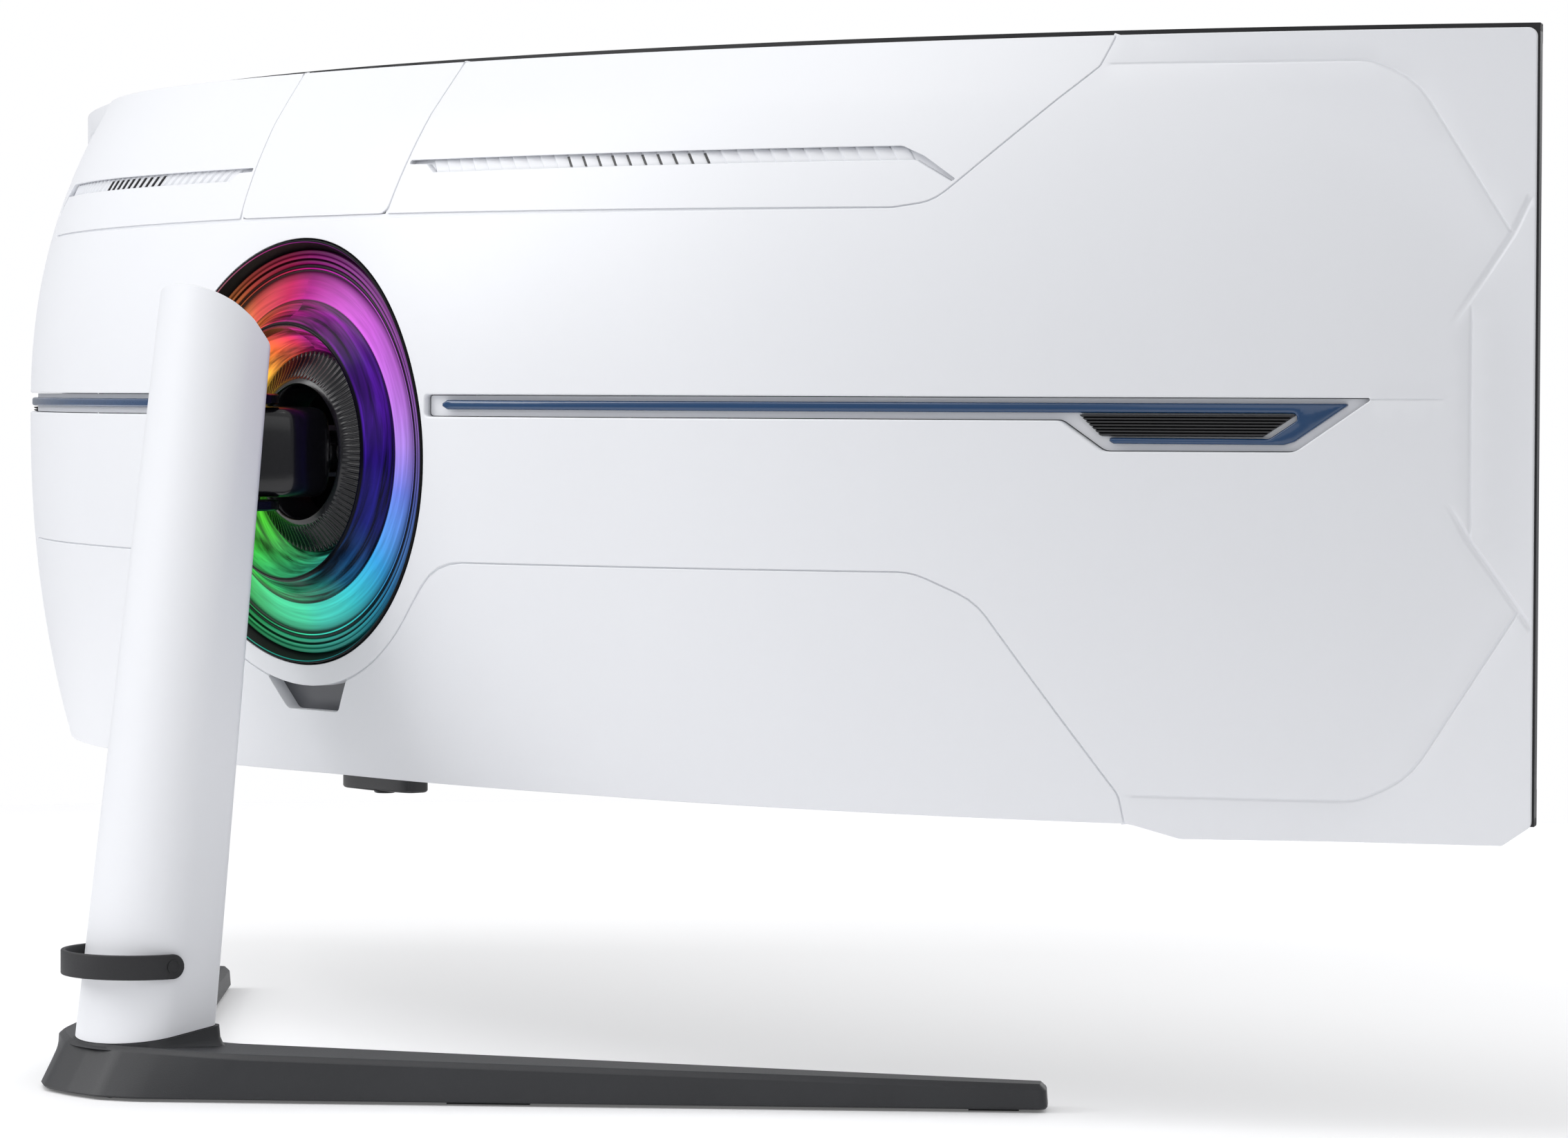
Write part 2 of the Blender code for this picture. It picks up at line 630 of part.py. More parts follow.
# ---------------------------------------------------------------- neck
SHAFT_RADIUS = 0.0040
POST_RADIUS = 0.0050
NECK_HALF_HIGH = 0.0225
NECK_HALF_WIDE = 0.0205
NECK_CHAMFER = 0.0045
KNUCKLE_RADIUS = 0.0120


TONGUE_RADIUS = 0.0110
TONGUE_ROOT = 0.0900
TONGUE_HALF = 0.0185
WASHER_SPAN = (0.0190, 0.0240)
WASHER_RADIUS = 0.0090
SHAFT_SPAN = (-0.0325, 0.0295)
SHAFT_HEAD = 0.0035
SHAFT_HEAD_RADIUS = 0.0065
BORE_REACH = 0.04


def neck():
    plan = [(-0.0205, 0.0890), (-0.0185, 0.0862), (0.0185, 0.0862), (0.0205, 0.0890), (0.0205, 0.1060),
            (0.0175, 0.1100)]
    plan += [(x, t) for x, t in arc_points((0, SWIVEL_Y), KNUCKLE_RADIUS, -10, 190, 12)]
    plan += [(-0.0175, 0.1100), (-0.0205, 0.1060)]
    casting = add("neck_casting", extruded(plan, lambda u, v, w: (u, y_of(v), z_of(w)),
                                           RING_Z - NECK_HALF_HIGH, RING_Z + NECK_HALF_HIGH),
                  "cast_alloy", smooth=30)
    wide, high, corner = NECK_HALF_WIDE + GAP, NECK_HALF_HIGH + GAP, NECK_CHAMFER
    end_view = mirrored([(wide - corner, high), (wide, high - corner),
                         (wide, corner - high), (wide - corner, -high)])
    block_ends = extruded(end_view, lambda u, v, w: (u, y_of(w), z_of(RING_Z + v)), 0.07, 0.14)
    boolean(casting, cutter("keep_neck_corners", block_ends), "INTERSECT")
    bore = bar_mesh((0, SWIVEL_Y, RING_Z - BORE_REACH), (0, SWIVEL_Y, RING_Z + BORE_REACH), POST_RADIUS + GAP)
    boolean(casting, cutter("cut_post_bore", bore))
    round_end = arc_points((TILT_Y, RING_Z), TONGUE_RADIUS, 90, 270, 10)
    root = [(TONGUE_ROOT, RING_Z - TONGUE_RADIUS), (TONGUE_ROOT, RING_Z + TONGUE_RADIUS)]
    tongue = extruded(round_end + root, lambda u, v, w: (w, y_of(u), z_of(v)), -TONGUE_HALF, TONGUE_HALF)
    boolean(casting, cutter("neck_tongue", tongue), "UNION")
    boolean(casting, cutter("cut_tongue_bore", bar_mesh((-0.03, TILT_Y, RING_Z), (0.03, TILT_Y, RING_Z),
                                                        SHAFT_RADIUS + GAP)))
    made = [casting]
    for side, word in SIDES:
        near, far = side * WASHER_SPAN[0], side * WASHER_SPAN[1]
        ring = add(f"friction_washer_{word}", bar_mesh((near, TILT_Y, RING_Z), (far, TILT_Y, RING_Z), WASHER_RADIUS),
                   "steel", smooth=30)
        hole = bar_mesh((near - side * 0.002, TILT_Y, RING_Z), (far + side * 0.002, TILT_Y, RING_Z),
                        SHAFT_RADIUS + GAP)
        boolean(ring, cutter(f"cut_washer_{word}", hole))
        made.append(ring)
    return made


def tilt_shaft():
    right, left = SHAFT_SPAN
    shaft = add("tilt_shaft", bar_mesh((right, TILT_Y, RING_Z), (left, TILT_Y, RING_Z), SHAFT_RADIUS), "steel",
                smooth=30)
    head = bar_mesh((right, TILT_Y, RING_Z), (right + SHAFT_HEAD, TILT_Y, RING_Z), SHAFT_HEAD_RADIUS)
    boolean(shaft, cutter("tilt_shaft_head", head), "UNION")
    nut = bar_mesh((0.0298, TILT_Y, RING_Z), (0.0338, TILT_Y, RING_Z), 0.0070, 6)
    return [shaft, add("tilt_nut", nut, "steel")]


# ---------------------------------------------------------------- carriage
EAR_HALF = 0.0150
BRACKET_FRONT = 0.1060
BRACKET_REAR = 0.1350
BRACKET_HIGH = 0.0290  # half height over the ears
BRACKET_PLATE = 0.0040
BRACKET_EAR = 0.0060
PLATE_HALF = 0.0175
PLATE_FRONT = 0.0060  # behind the column's front face
PLATE_REAR = 0.0100
GLIDE_EXTRA = 0.0010  # the glides stand this far proud of the plate


def column_front(z):
    return COLUMN_FOOT_FRONT - COLUMN_FRONT_SLOPE * (z - COLUMN_FOOT_Z)


def column_rear(z):
    return COLUMN_FOOT_REAR - COLUMN_REAR_SLOPE * (z - COLUMN_FOOT_Z)


def lean_frame():
    """Local frame of the column: its origin is at the column's front lower edge, +Z runs up the lean."""
    origin = Vector((0, y_of(COLUMN_FOOT_FRONT), z_of(COLUMN_FOOT_Z)))
    return Matrix.Translation(origin) @ Matrix.Rotation(COLUMN_LEAN, 4, "X")


NECK_UP = (RING_Z - COLUMN_FOOT_Z) / math.cos(COLUMN_LEAN)  # the neck's height along the column
CARRIAGE_HALF = 0.022
CHANNEL_HALF = 0.0225
CHANNEL_WALL = 0.0015
CHANNEL_TOP = 0.305


def carriage():
    high, inside = BRACKET_HIGH, BRACKET_HIGH - BRACKET_EAR
    front, rear = BRACKET_FRONT, BRACKET_REAR
    web = rear - BRACKET_PLATE
    side_view = [(rear, -high), (rear, high), (front, high), (front, inside), (web, inside),
                 (web, -inside), (front, -inside), (front, -high)]
    clevis = extruded(side_view, lambda u, v, w: (w, y_of(u), z_of(RING_Z + v)), -EAR_HALF, EAR_HALF)
    clevis = add("swivel_bracket", clevis, "cast_alloy")
    bore = bar_mesh((0, SWIVEL_Y, RING_Z - BORE_REACH), (0, SWIVEL_Y, RING_Z + BORE_REACH), POST_RADIUS + GAP)
    boolean(clevis, cutter("cut_clevis_bore", bore))
    post = bar_mesh((0, SWIVEL_Y, RING_Z - high), (0, SWIVEL_Y, RING_Z + high), POST_RADIUS)
    post = add("swivel_post", post, "steel", smooth=30)
    frame = lean_frame()
    low, high = NECK_UP - CARRIAGE_HALF, NECK_UP + CARRIAGE_HALF
    plate = block(bmesh.new(), frame, (-PLATE_HALF, PLATE_FRONT, low), (PLATE_HALF, PLATE_REAR, high))
    made = [clevis, post, add("carriage_plate", plate, "steel")]
    for side, word in SIDES:
        ends = sorted((side * (PLATE_HALF + GAP), side * (CHANNEL_HALF - CHANNEL_WALL - GAP)))
        glide = block(bmesh.new(), frame, (ends[0], PLATE_FRONT - GLIDE_EXTRA, low),
                      (ends[1], PLATE_REAR + GLIDE_EXTRA, high))
        made.append(add(f"glide_{word}", glide, "nylon"))
    return made


# ---------------------------------------------------------------- column
SHELL = 0.0025
SLOT_HALF = 0.0190
SLOT_LOW = 0.130  # the slot's lower end above the column's foot, along the column
CHANNEL_FRONT = 0.0035
CHANNEL_REAR = 0.0185
CHANNEL_FOOT = 0.016
BASE_HALF = 0.0235
BASE_SPAN = (0.0045, 0.0330)
BASE_HEIGHT = (0.0030, 0.0155)
COIL_X = 0.0085
COIL_Y = 0.0265
COIL_UP = 0.270
COIL_WIDE = 0.0120
COIL_RADIUS = 0.0060
COIL_BORE = 0.0025
SPINDLE_HALF = 0.0165
SPINDLE_RADIUS = 0.0022


def column_section(z, inset):
    """A U-shaped slice of the column at height z, round at the rear."""
    half = COLUMN_HALF - inset
    front = column_front(z) + inset
    corner = COLUMN_CORNER
    centre = max(column_rear(z) - COLUMN_ROUND, column_front(z) + SHELL + corner + 0.001)
    points = arc_points((half - corner, front + corner), corner, -90, 0, 2)
    points += arc_points((0, centre), (half, column_rear(z) - inset - centre), 0, 180, 14)
    points += arc_points((corner - half, front + corner), corner, 180, 270, 2)
    return [Vector((x, y_of(t), z_of(z))) for x, t in points]


def column_solid(inset, low, high, levels=2):
    bm = bmesh.new()
    rows = []
    for k in range(levels):
        z = low + (high - low) * k / (levels - 1)
        rows.append([bm.verts.new(point) for point in column_section(z, inset)])
    count = len(rows[0])
    for lower, upper in zip(rows, rows[1:]):
        for i in range(count):
            j = (i + 1) % count
            bm.faces.new((lower[i], lower[j], upper[j], upper[i]))
    bm.faces.new(rows[0])
    bm.faces.new(rows[-1])
    return bm


def cap_cutter(drop):
    """Everything above the column's slanted, rounded top."""
    curve = [(0.1215, 0.0100), (0.1255, 0.0260), (0.1310, 0.0400), (0.1400, 0.0505), (0.1500, 0.0590),
             (0.1640, 0.0680), (0.1800, 0.0760)]
    outline = [(t, z - drop) for t, z in curve] + [(0.180, 0.120), (0.100, 0.120), (0.100, 0.0100 - drop)]
    return extruded(outline, lambda u, v, w: (w, y_of(u), z_of(v)), -0.05, 0.05)


def foot_plane_cutter():
    """Everything below the column's slanted lower edge."""
    rise = (COLUMN_FOOT_Z - BASE_REAR_Z) / (COLUMN_FOOT_FRONT - COLUMN_FOOT_REAR)
    near, far = 0.14, 0.24
    outline = [(near, COLUMN_FOOT_Z + rise * (near - COLUMN_FOOT_FRONT)),
               (far, COLUMN_FOOT_Z + rise * (far - COLUMN_FOOT_FRONT)), (far, -0.36), (near, -0.36)]
    return extruded(outline, lambda u, v, w: (w, y_of(u), z_of(v)), -0.06, 0.06)


BASE_REAR_Z = -0.3022  # height of the column's rear lower edge


def column():
    cover = add("column_cover", column_solid(0.0, -0.315, 0.090), "white_plastic", smooth=30)
    boolean(cover, cutter("cut_column_cap", cap_cutter(0.0)))
    boolean(cover, cutter("cut_column_foot", foot_plane_cutter()))
    inner = cutter("cut_column_hollow", column_solid(SHELL, -0.325, 0.085))
    boolean(inner, cutter("cut_hollow_cap", cap_cutter(SHELL * 1.3)))
    boolean(cover, inner)
    frame = lean_frame()
    slot = block(bmesh.new(), frame, (-SLOT_HALF, -0.01, SLOT_LOW), (SLOT_HALF, 0.0035, 0.345))
    boolean(cover, cutter("cut_column_slot", slot))

    wide, thin = CHANNEL_HALF, CHANNEL_HALF - CHANNEL_WALL
    web = [(-wide, CHANNEL_FRONT), (-wide, CHANNEL_REAR), (wide, CHANNEL_REAR), (wide, CHANNEL_FRONT),
           (thin, CHANNEL_FRONT), (thin, CHANNEL_REAR - CHANNEL_WALL), (-thin, CHANNEL_REAR - CHANNEL_WALL),
           (-thin, CHANNEL_FRONT)]
    channel = extruded(web, lambda u, v, w: frame @ Vector((u, v, w)), CHANNEL_FOOT, CHANNEL_TOP)
    channel = add("column_channel", channel, "steel")

    base = block(bmesh.new(), frame, (-BASE_HALF, BASE_SPAN[0], BASE_HEIGHT[0]),
                 (BASE_HALF, BASE_SPAN[1], BASE_HEIGHT[1]))
    made = [cover, channel, add("column_base", base, "cast_alloy")]
    for side, word in SIDES:
        coil = lean_bar(side * COIL_X - COIL_WIDE / 2, side * COIL_X + COIL_WIDE / 2, COIL_RADIUS, ROUND)
        roll = add(f"lift_spring_{word}", coil, "steel", smooth=30)
        hole = lean_bar(side * COIL_X - COIL_WIDE, side * COIL_X + COIL_WIDE, COIL_BORE, 16)
        boolean(roll, cutter(f"cut_spring_{word}", hole))
        made.append(roll)
    made.append(add("spring_spindle", lean_bar(-SPINDLE_HALF, SPINDLE_HALF, SPINDLE_RADIUS, 16), "steel",
                    smooth=30))
    return made


def lean_bar(left, right, radius, sides):
    """A bar across the column on the springs' axis."""
    bm = bmesh.new()
    frame = lean_frame()
    add_bar(bm, frame @ Vector((left, COIL_Y, COIL_UP)), frame @ Vector((right, COIL_Y, COIL_UP)), radius, sides)
    return bm


def add_bar(bm, a, b, radius, sides=ROUND):
    turn = (b - a).to_track_quat("Z", "Y").to_matrix().to_4x4()
    bmesh.ops.create_cone(bm, cap_ends=True, segments=sides, radius1=radius, radius2=radius,
                          depth=(b - a).length, matrix=Matrix.Translation((a + b) / 2) @ turn)


STRAP_Z = -0.2645
STRAP_HALF = 0.006
STRAP_THICK = 0.0026
STRAP_CENTRE_Y = 0.187  # the band is straight in front of this and round behind it
STRAP_END_Y = 0.183
STRAP_REACH = 0.0355
STUD_RADIUS = 0.0020
STUD_DEEP = 0.0038  # how far a stud reaches into the column


def cable_strap():
    """A rubber band that loops round the column's rear, with room for cables behind it."""
    inside = COLUMN_HALF + GAP
    outside = inside + STRAP_THICK
    centre = (0, STRAP_CENTRE_Y)
    outer = [(outside, STRAP_END_Y)] + arc_points(centre, (outside, STRAP_REACH), 0, 180, 22)
    outer.append((-outside, STRAP_END_Y))
    inner = [(-inside, STRAP_END_Y)] + arc_points(centre, (inside, STRAP_REACH - STRAP_THICK), 180, 0, 22)
    inner.append((inside, STRAP_END_Y))
    strap = extruded(outer + inner, lambda u, v, w: (u, y_of(v), z_of(w)), STRAP_Z - STRAP_HALF,
                     STRAP_Z + STRAP_HALF)
    strap = add("cable_strap", strap, "rubber", smooth=30)
    for side, word in SIDES:
        hole = bar_mesh((side * 0.020, STRAP_CENTRE_Y, STRAP_Z), (side * 0.04, STRAP_CENTRE_Y, STRAP_Z),
                        STUD_RADIUS + GAP, 12)
        boolean(bpy.data.objects["column_cover"], cutter(f"cut_stud_{word}", hole))
        stud = bar_mesh((side * (COLUMN_HALF - STUD_DEEP), STRAP_CENTRE_Y, STRAP_Z),
                        (side * (inside + STRAP_THICK / 2), STRAP_CENTRE_Y, STRAP_Z), STUD_RADIUS, 12)
        boolean(strap, cutter(f"strap_stud_{word}", stud), "UNION")
    return [strap]


# ---------------------------------------------------------------- foot
LEG_TIP_WIDE = 0.022


def foot_outline(inset):
    """Half outline of the V foot in plan, x > 0, from the rear apex round to the inner vertex."""
    tip = Vector((FOOT_TIP_X, FOOT_TIP_Y))
    heel = Vector((0.040, 0.2150))
    along = (tip - heel).normalized()
    across = Vector((along.y, -along.x))  # towards the V's inside
    end = tip + across * LEG_TIP_WIDE
    crotch = Vector((0.0, 0.1450))
    inner = Vector((0.022, 0.1500))
    return [
        (0.0, FOOT_APEX_Y - inset), (0.022, FOOT_APEX_Y - 0.0015 - inset),
        (heel.x - inset * 0.8, heel.y - inset * 0.8),
        (tip.x - along.x * inset + across.x * inset, tip.y - along.y * inset + across.y * inset),
        (end.x - along.x * inset - across.x * inset, end.y - along.y * inset - across.y * inset),
        (inner.x + inset * 0.5, inner.y + inset * 0.8), (crotch.x, crotch.y + inset),
    ]


def foot_top(y):
    """The foot's top is one plane that falls from the hub to the tips."""
    return FOOT_TIP_TOP + (FOOT_HUB_TOP - FOOT_TIP_TOP) * (y - FOOT_TIP_Y) / (0.2100 - FOOT_TIP_Y)


def foot():
    chamfer = 0.0025
    flare = 0.0120
    bm = bmesh.new()
    rows = []
    for inset, level in ((0.0, "bottom"), (0.0010, "side"), (0.0010 + chamfer, "top")):
        half = foot_outline(inset)
        whole = half + [(-x, y) for x, y in reversed(half[1:-1])]
        row = []
        for index, (x, y) in enumerate(whole):
            heel = index in (0, 1, len(whole) - 1)
            back = flare if heel and level != "bottom" else 0.0
            height = {"bottom": PAD_HEIGHT, "side": foot_top(y) - chamfer, "top": foot_top(y)}[level]
            row.append(bm.verts.new((x, y_of(y - back), height)))
        rows.append(row)
    count = len(rows[0])
    for lower, upper in zip(rows, rows[1:]):
        for i in range(count):
            j = (i + 1) % count
            bm.faces.new((lower[i], lower[j], upper[j], upper[i]))
    bm.faces.new(rows[0])
    bm.faces.new(rows[-1])
    bmesh.ops.triangulate(bm, faces=bm.faces[:])
    base = add("foot_casting", bm, "foot_paint")
    riser = cutter("foot_riser", column_solid(-0.0015, -0.316, -0.285))
    boolean(riser, cutter("cut_riser_top", riser_top_cutter()))
    boolean(base, riser, "UNION")

    made = [base]
    for index, (x, y) in enumerate(FOOT_SCREWS, 1):
        hole = cutter(f"cut_foot_screw_{index}", standing_bar(x, y, -0.005, 0.060, 0.0032, 16))
        sink = cutter(f"cut_foot_head_{index}", standing_bar(x, y, -0.005, 0.0065, 0.0058, 16))
        boolean(base, hole)
        boolean(base, sink)
        boolean(bpy.data.objects["column_base"], hole)
        shank = standing_bar(x, y, 0.0030, 0.0440, 0.0025, 16)
        made.append(with_head(f"foot_screw_{index}", shank, standing_bar(x, y, 0.0024, 0.0060, 0.0050, 16)))
    made += foot_pads()
    return made


FOOT_SCREWS = [(-0.014, 0.1800), (0.014, 0.1800)]


def standing_bar(x, t, low, high, radius, sides=ROUND):
    bm = bmesh.new()
    add_bar(bm, Vector((x, y_of(t), low)), Vector((x, y_of(t), high)), radius, sides)
    return bm


def riser_top_cutter():
    rise = (COLUMN_FOOT_Z - BASE_REAR_Z) / (COLUMN_FOOT_FRONT - COLUMN_FOOT_REAR)
    near, far = 0.12, 0.25
    outline = [(near, COLUMN_FOOT_Z - GAP + rise * (near - COLUMN_FOOT_FRONT)),
               (far, COLUMN_FOOT_Z - GAP + rise * (far - COLUMN_FOOT_FRONT)), (far, -0.20), (near, -0.20)]
    return extruded(outline, lambda u, v, w: (w, y_of(u), z_of(v)), -0.06, 0.06)


def foot_pads():
    """Rubber pads under the heel, the middle of the legs and the tips."""
    made = []
    along = (Vector((FOOT_TIP_X, FOOT_TIP_Y)) - Vector((0.040, 0.2150))).normalized()
    across = Vector((along.y, -along.x))
    for side, word in SIDES:
        for distance, half_long, level in ((0.412, 0.012, "tip"), (0.170, 0.020, "mid")):
            centre = Vector((0.040, 0.2150)) + along * distance + across * 0.0125
            bm = bmesh.new()
            corners = []
            for a, b in ((-1, -1), (1, -1), (1, 1), (-1, 1)):
                spot = centre + along * a * half_long + across * b * 0.005
                corners.append((side * spot.x, spot.y))
            bm = extruded(corners, lambda u, v, w: (u, y_of(v), w), 0.0, PAD_HEIGHT - GAP)
            made.append(add(f"pad_{level}_{word}", bm, "rubber"))
    heel = extruded([(-0.020, 0.2040), (0.020, 0.2040), (0.020, 0.2150), (-0.020, 0.2150)],
                    lambda u, v, w: (u, y_of(v), w), 0.0, PAD_HEIGHT - GAP)
    made.append(add("pad_heel", heel, "rubber"))
    return made


# ---------------------------------------------------------------- the whole object
def clear_scene():
    for item in list(bpy.data.objects):
        bpy.data.objects.remove(item, do_unlink=True)


clear_scene()
HOLLOW = cutter("cut_cover_hollow", slab(
    cover_outline(COVER_WALL), -0.002, lambda s, z: bulge(s, z) - COVER_WALL))

head_parts = screen() + rear_covers() + trim() + light_ring() + mount_parts() + electronics() + control_pod()
head_parts += tilt_shaft()
neck_parts = neck()
carriage_parts = carriage()
stand_parts = column() + cable_strap() + foot()

pivot_at(head_parts, "tilt_axis", (0, y_of(TILT_Y), z_of(RING_Z)))
pivot_at(neck_parts, "swivel_axis", (0, y_of(SWIVEL_Y), z_of(RING_Z)))
pivot_at(carriage_parts, "height_axis", (0, y_of(column_front(RING_Z)), z_of(RING_Z)))
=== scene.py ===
"""The looks of the curved monitor with its stand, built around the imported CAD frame.

The rear covers are drawn unrolled, as the CAD is: s runs along the arc of the panel, t is the
depth behind the panel's rear plane and z the height above the panel's centre. All in metres.
"""

import json
import math

import bpy
import numpy as np
from mathutils import Matrix, Vector
from mathutils.geometry import delaunay_2d_cdt
from mathutils.kdtree import KDTree

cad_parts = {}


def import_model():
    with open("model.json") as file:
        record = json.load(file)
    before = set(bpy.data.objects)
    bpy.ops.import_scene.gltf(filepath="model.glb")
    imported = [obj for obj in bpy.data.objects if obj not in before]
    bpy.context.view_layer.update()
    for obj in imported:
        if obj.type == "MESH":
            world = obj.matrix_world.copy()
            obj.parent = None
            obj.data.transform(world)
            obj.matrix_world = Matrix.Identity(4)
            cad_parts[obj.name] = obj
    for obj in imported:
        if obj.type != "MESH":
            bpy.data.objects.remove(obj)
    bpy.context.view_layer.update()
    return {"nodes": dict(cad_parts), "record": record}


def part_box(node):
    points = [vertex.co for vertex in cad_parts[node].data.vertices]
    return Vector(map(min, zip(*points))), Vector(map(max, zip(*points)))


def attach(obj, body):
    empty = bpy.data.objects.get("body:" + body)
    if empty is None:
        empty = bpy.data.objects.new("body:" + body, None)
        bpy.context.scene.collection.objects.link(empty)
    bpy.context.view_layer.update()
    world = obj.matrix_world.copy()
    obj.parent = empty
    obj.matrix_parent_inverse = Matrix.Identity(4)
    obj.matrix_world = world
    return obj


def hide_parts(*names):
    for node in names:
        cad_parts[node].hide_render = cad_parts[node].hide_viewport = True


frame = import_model()

# ---------------------------------------------------------------- places, from the frame
GAP = 0.0003
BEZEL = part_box("front_bezel")
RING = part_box("ring_rim")
PANEL_RADIUS = 1.0
PANEL_Y = BEZEL[1].y + GAP
PANEL_Z = (BEZEL[0].z + BEZEL[1].z) / 2
PANEL_HALF = (BEZEL[1].z - BEZEL[0].z) / 2
HALF_ARC = math.asin(BEZEL[1].x)
RING_Z = (RING[0].z + RING[1].z) / 2 - PANEL_Z
RING_RADIUS = RING[1].x
RING_LIFT = 0.0046  # the cover stands a little further back round the ring
LIFT_FULL, LIFT_FADE = 0.110, 0.240  # all of it within one radius, none of it outside the other

# the rear cover's outer face
REAR_DEPTH = 0.092
SIDE_FALL, SIDE_POWER = 1.04, 2.46
TOP_DROP, TOP_DROP_AT, TOP_POWER = 0.055, 0.178, 2.3
BOTTOM_DROP, BOTTOM_DROP_AT, BOTTOM_POWER = 0.0235, 0.170, 2.2
EDGE_DEPTH, EDGE_BLEND = 0.006, 0.004

# its outline and the details on it
COVER_END = 0.6115
COVER_TOP = 0.1796
COVER_BOTTOM = -0.1845
LIP_BOTTOM = -0.1905
COVER_WALL = 0.0022
TOP_DRAFT, DRAFT_FROM, DRAFT_OVER = 0.085, 0.150, 0.0305  # lean of the covers' top wall
SEAM = 0.0007  # gap between two covers
EDGE_ROUND = 0.0004  # rounding of their edges
GRID = 0.007  # spacing of the mesh points on the covers
EDGE_STEP = 0.003  # and along their edges
SIDES = ((-1, "right"), (1, "left"))  # as seen from behind


# ---------------------------------------------------------------- curved space
def on_panel(s, t, z):
    """Places of points given by their arc, depth and height."""
    s, t, z = np.broadcast_arrays(*(np.asarray(v, float) for v in (s, t, z)))
    z = z - TOP_DRAFT * np.maximum(t - EDGE_DEPTH, 0) * np.clip((z - DRAFT_FROM) / DRAFT_OVER, 0, 1)
    reach = PANEL_RADIUS + t
    return np.stack([reach * np.sin(s / PANEL_RADIUS),
                     PANEL_Y - PANEL_RADIUS + reach * np.cos(s / PANEL_RADIUS),
                     PANEL_Z + z], axis=-1)


def world(x, t, z):
    """The place of a point given by x, its depth behind the panel's middle and its height."""
    return (x, PANEL_Y + t, PANEL_Z + z)


def rear_face(x, z):
    """Depth of the cover's outer face behind the panel's middle."""
    from_ring = np.hypot(x, z - RING_Z)
    near = np.clip((LIFT_FADE - from_ring) / (LIFT_FADE - LIFT_FULL), 0, 1)
    lift = RING_LIFT * near * near * (3 - 2 * near)
    top = TOP_DROP * (np.maximum(z, 0) / TOP_DROP_AT) ** TOP_POWER
    bottom = BOTTOM_DROP * (np.maximum(-z, 0) / BOTTOM_DROP_AT) ** BOTTOM_POWER
    return REAR_DEPTH + lift - SIDE_FALL * np.abs(x) ** SIDE_POWER - top - bottom


def bulge(s, z):
    """Depth of the cover's outer face behind the curved panel, by repeated substitution."""
    angle = np.abs(np.asarray(s, float)) / PANEL_RADIUS
    z = np.asarray(z, float)
    t = np.full(np.broadcast(angle, z).shape, EDGE_DEPTH)
    for _ in range(12):
        x = (PANEL_RADIUS + t) * np.sin(angle)
        t = (t + (PANEL_RADIUS + rear_face(x, z)) / np.cos(angle) - PANEL_RADIUS) / 2
    over = t - EDGE_DEPTH
    return EDGE_DEPTH + (over + np.sqrt(over * over + EDGE_BLEND ** 2)) / 2


def under_face(spots, drop):
    """Places at a depth under the cover's outer face, given by arc and height, without the grooves."""
    s, z = np.asarray(spots, float).T
    return on_panel(s, bulge(s, z) - drop, z)


def unrolled(x, z):
    """Arc and height of the point of the cover's outer face that has this x and this height."""
    s = math.asin(x)
    for _ in range(8):
        s = math.asin(x / (PANEL_RADIUS + float(bulge(s, z))))
    return s, z


def line_distance(points, line):
    """Distance from each point to a polyline, and how far along it the nearest place is."""
    best = np.full(len(points), 1e9)
    along = np.zeros(len(points))
    start = 0.0
    for a, b in zip(line[:-1], line[1:]):
        run = b - a
        length = math.hypot(*run)
        share = np.clip((points - a) @ run / length ** 2, 0, 1)
        gap = np.hypot(*(points - a - share[:, None] * run).T)
        closer = gap < best
        best[closer] = gap[closer]
        along[closer] = (start + share * length)[closer]
        start += length
    return best, along, start


# ---------------------------------------------------------------- outlines
def rounded(points, radius, closed=True, step=EDGE_STEP):
    """A polygon with its corners rounded by radius (one number, or one for each corner)."""
    count = len(points)
    radii = radius if isinstance(radius, (list, tuple)) else [radius] * count
    points = [np.array(p, float) for p in points]
    out = []
    for i, here in enumerate(points):
        if not closed and i in (0, count - 1):
            out.append(here)
            continue
        before, after = points[i - 1], points[(i + 1) % count]
        a, b = before - here, after - here
        la, lb = math.hypot(*a), math.hypot(*b)
        a, b = a / la, b / lb
        half = math.acos(max(-1.0, min(1.0, float(a @ b)))) / 2
        if radii[i] <= 0 or half > math.pi / 2 - 0.02:
            out.append(here)
            continue
        reach = min(radii[i] / math.tan(half), la * 0.48, lb * 0.48)
        bend = reach * math.tan(half)
        centre = here + (a + b) / math.hypot(*(a + b)) * bend / math.sin(half)
        first, last = here + a * reach - centre, here + b * reach - centre
        turn = math.atan2(first[0] * last[1] - first[1] * last[0], float(first @ last))
        steps = max(3, math.ceil(abs(turn) / 0.22))
        for k in range(steps + 1):
            angle = turn * k / steps
            cos, sin = math.cos(angle), math.sin(angle)
            out.append(centre + np.array([cos * first[0] - sin * first[1], sin * first[0] + cos * first[1]]))
    return resampled(np.array(out), closed, step)


def resampled(loop, closed=True, step=EDGE_STEP):
    """Extra points along the long straight runs."""
    out = []
    ends = len(loop) if closed else len(loop) - 1
    for i in range(ends):
        a, b = loop[i], loop[(i + 1) % len(loop)]
        parts = max(1, math.ceil(math.hypot(*(b - a)) / step))
        out += [a + (b - a) * k / parts for k in range(parts)]
    if not closed:
        out.append(loop[-1])
    return np.array(out)


def area(loop):
    x, y = loop.T
    return float(np.sum(x * np.roll(y, -1) - np.roll(x, -1) * y)) / 2


def turned_to(loop, sign):
    return loop if area(loop) * sign > 0 else loop[::-1]


def left_of(line):
    """Directions at right angles to an open line, to its left."""
    ahead = np.gradient(line, axis=0)
    ahead /= np.hypot(*ahead.T)[:, None]
    return np.stack([-ahead[:, 1], ahead[:, 0]], 1)


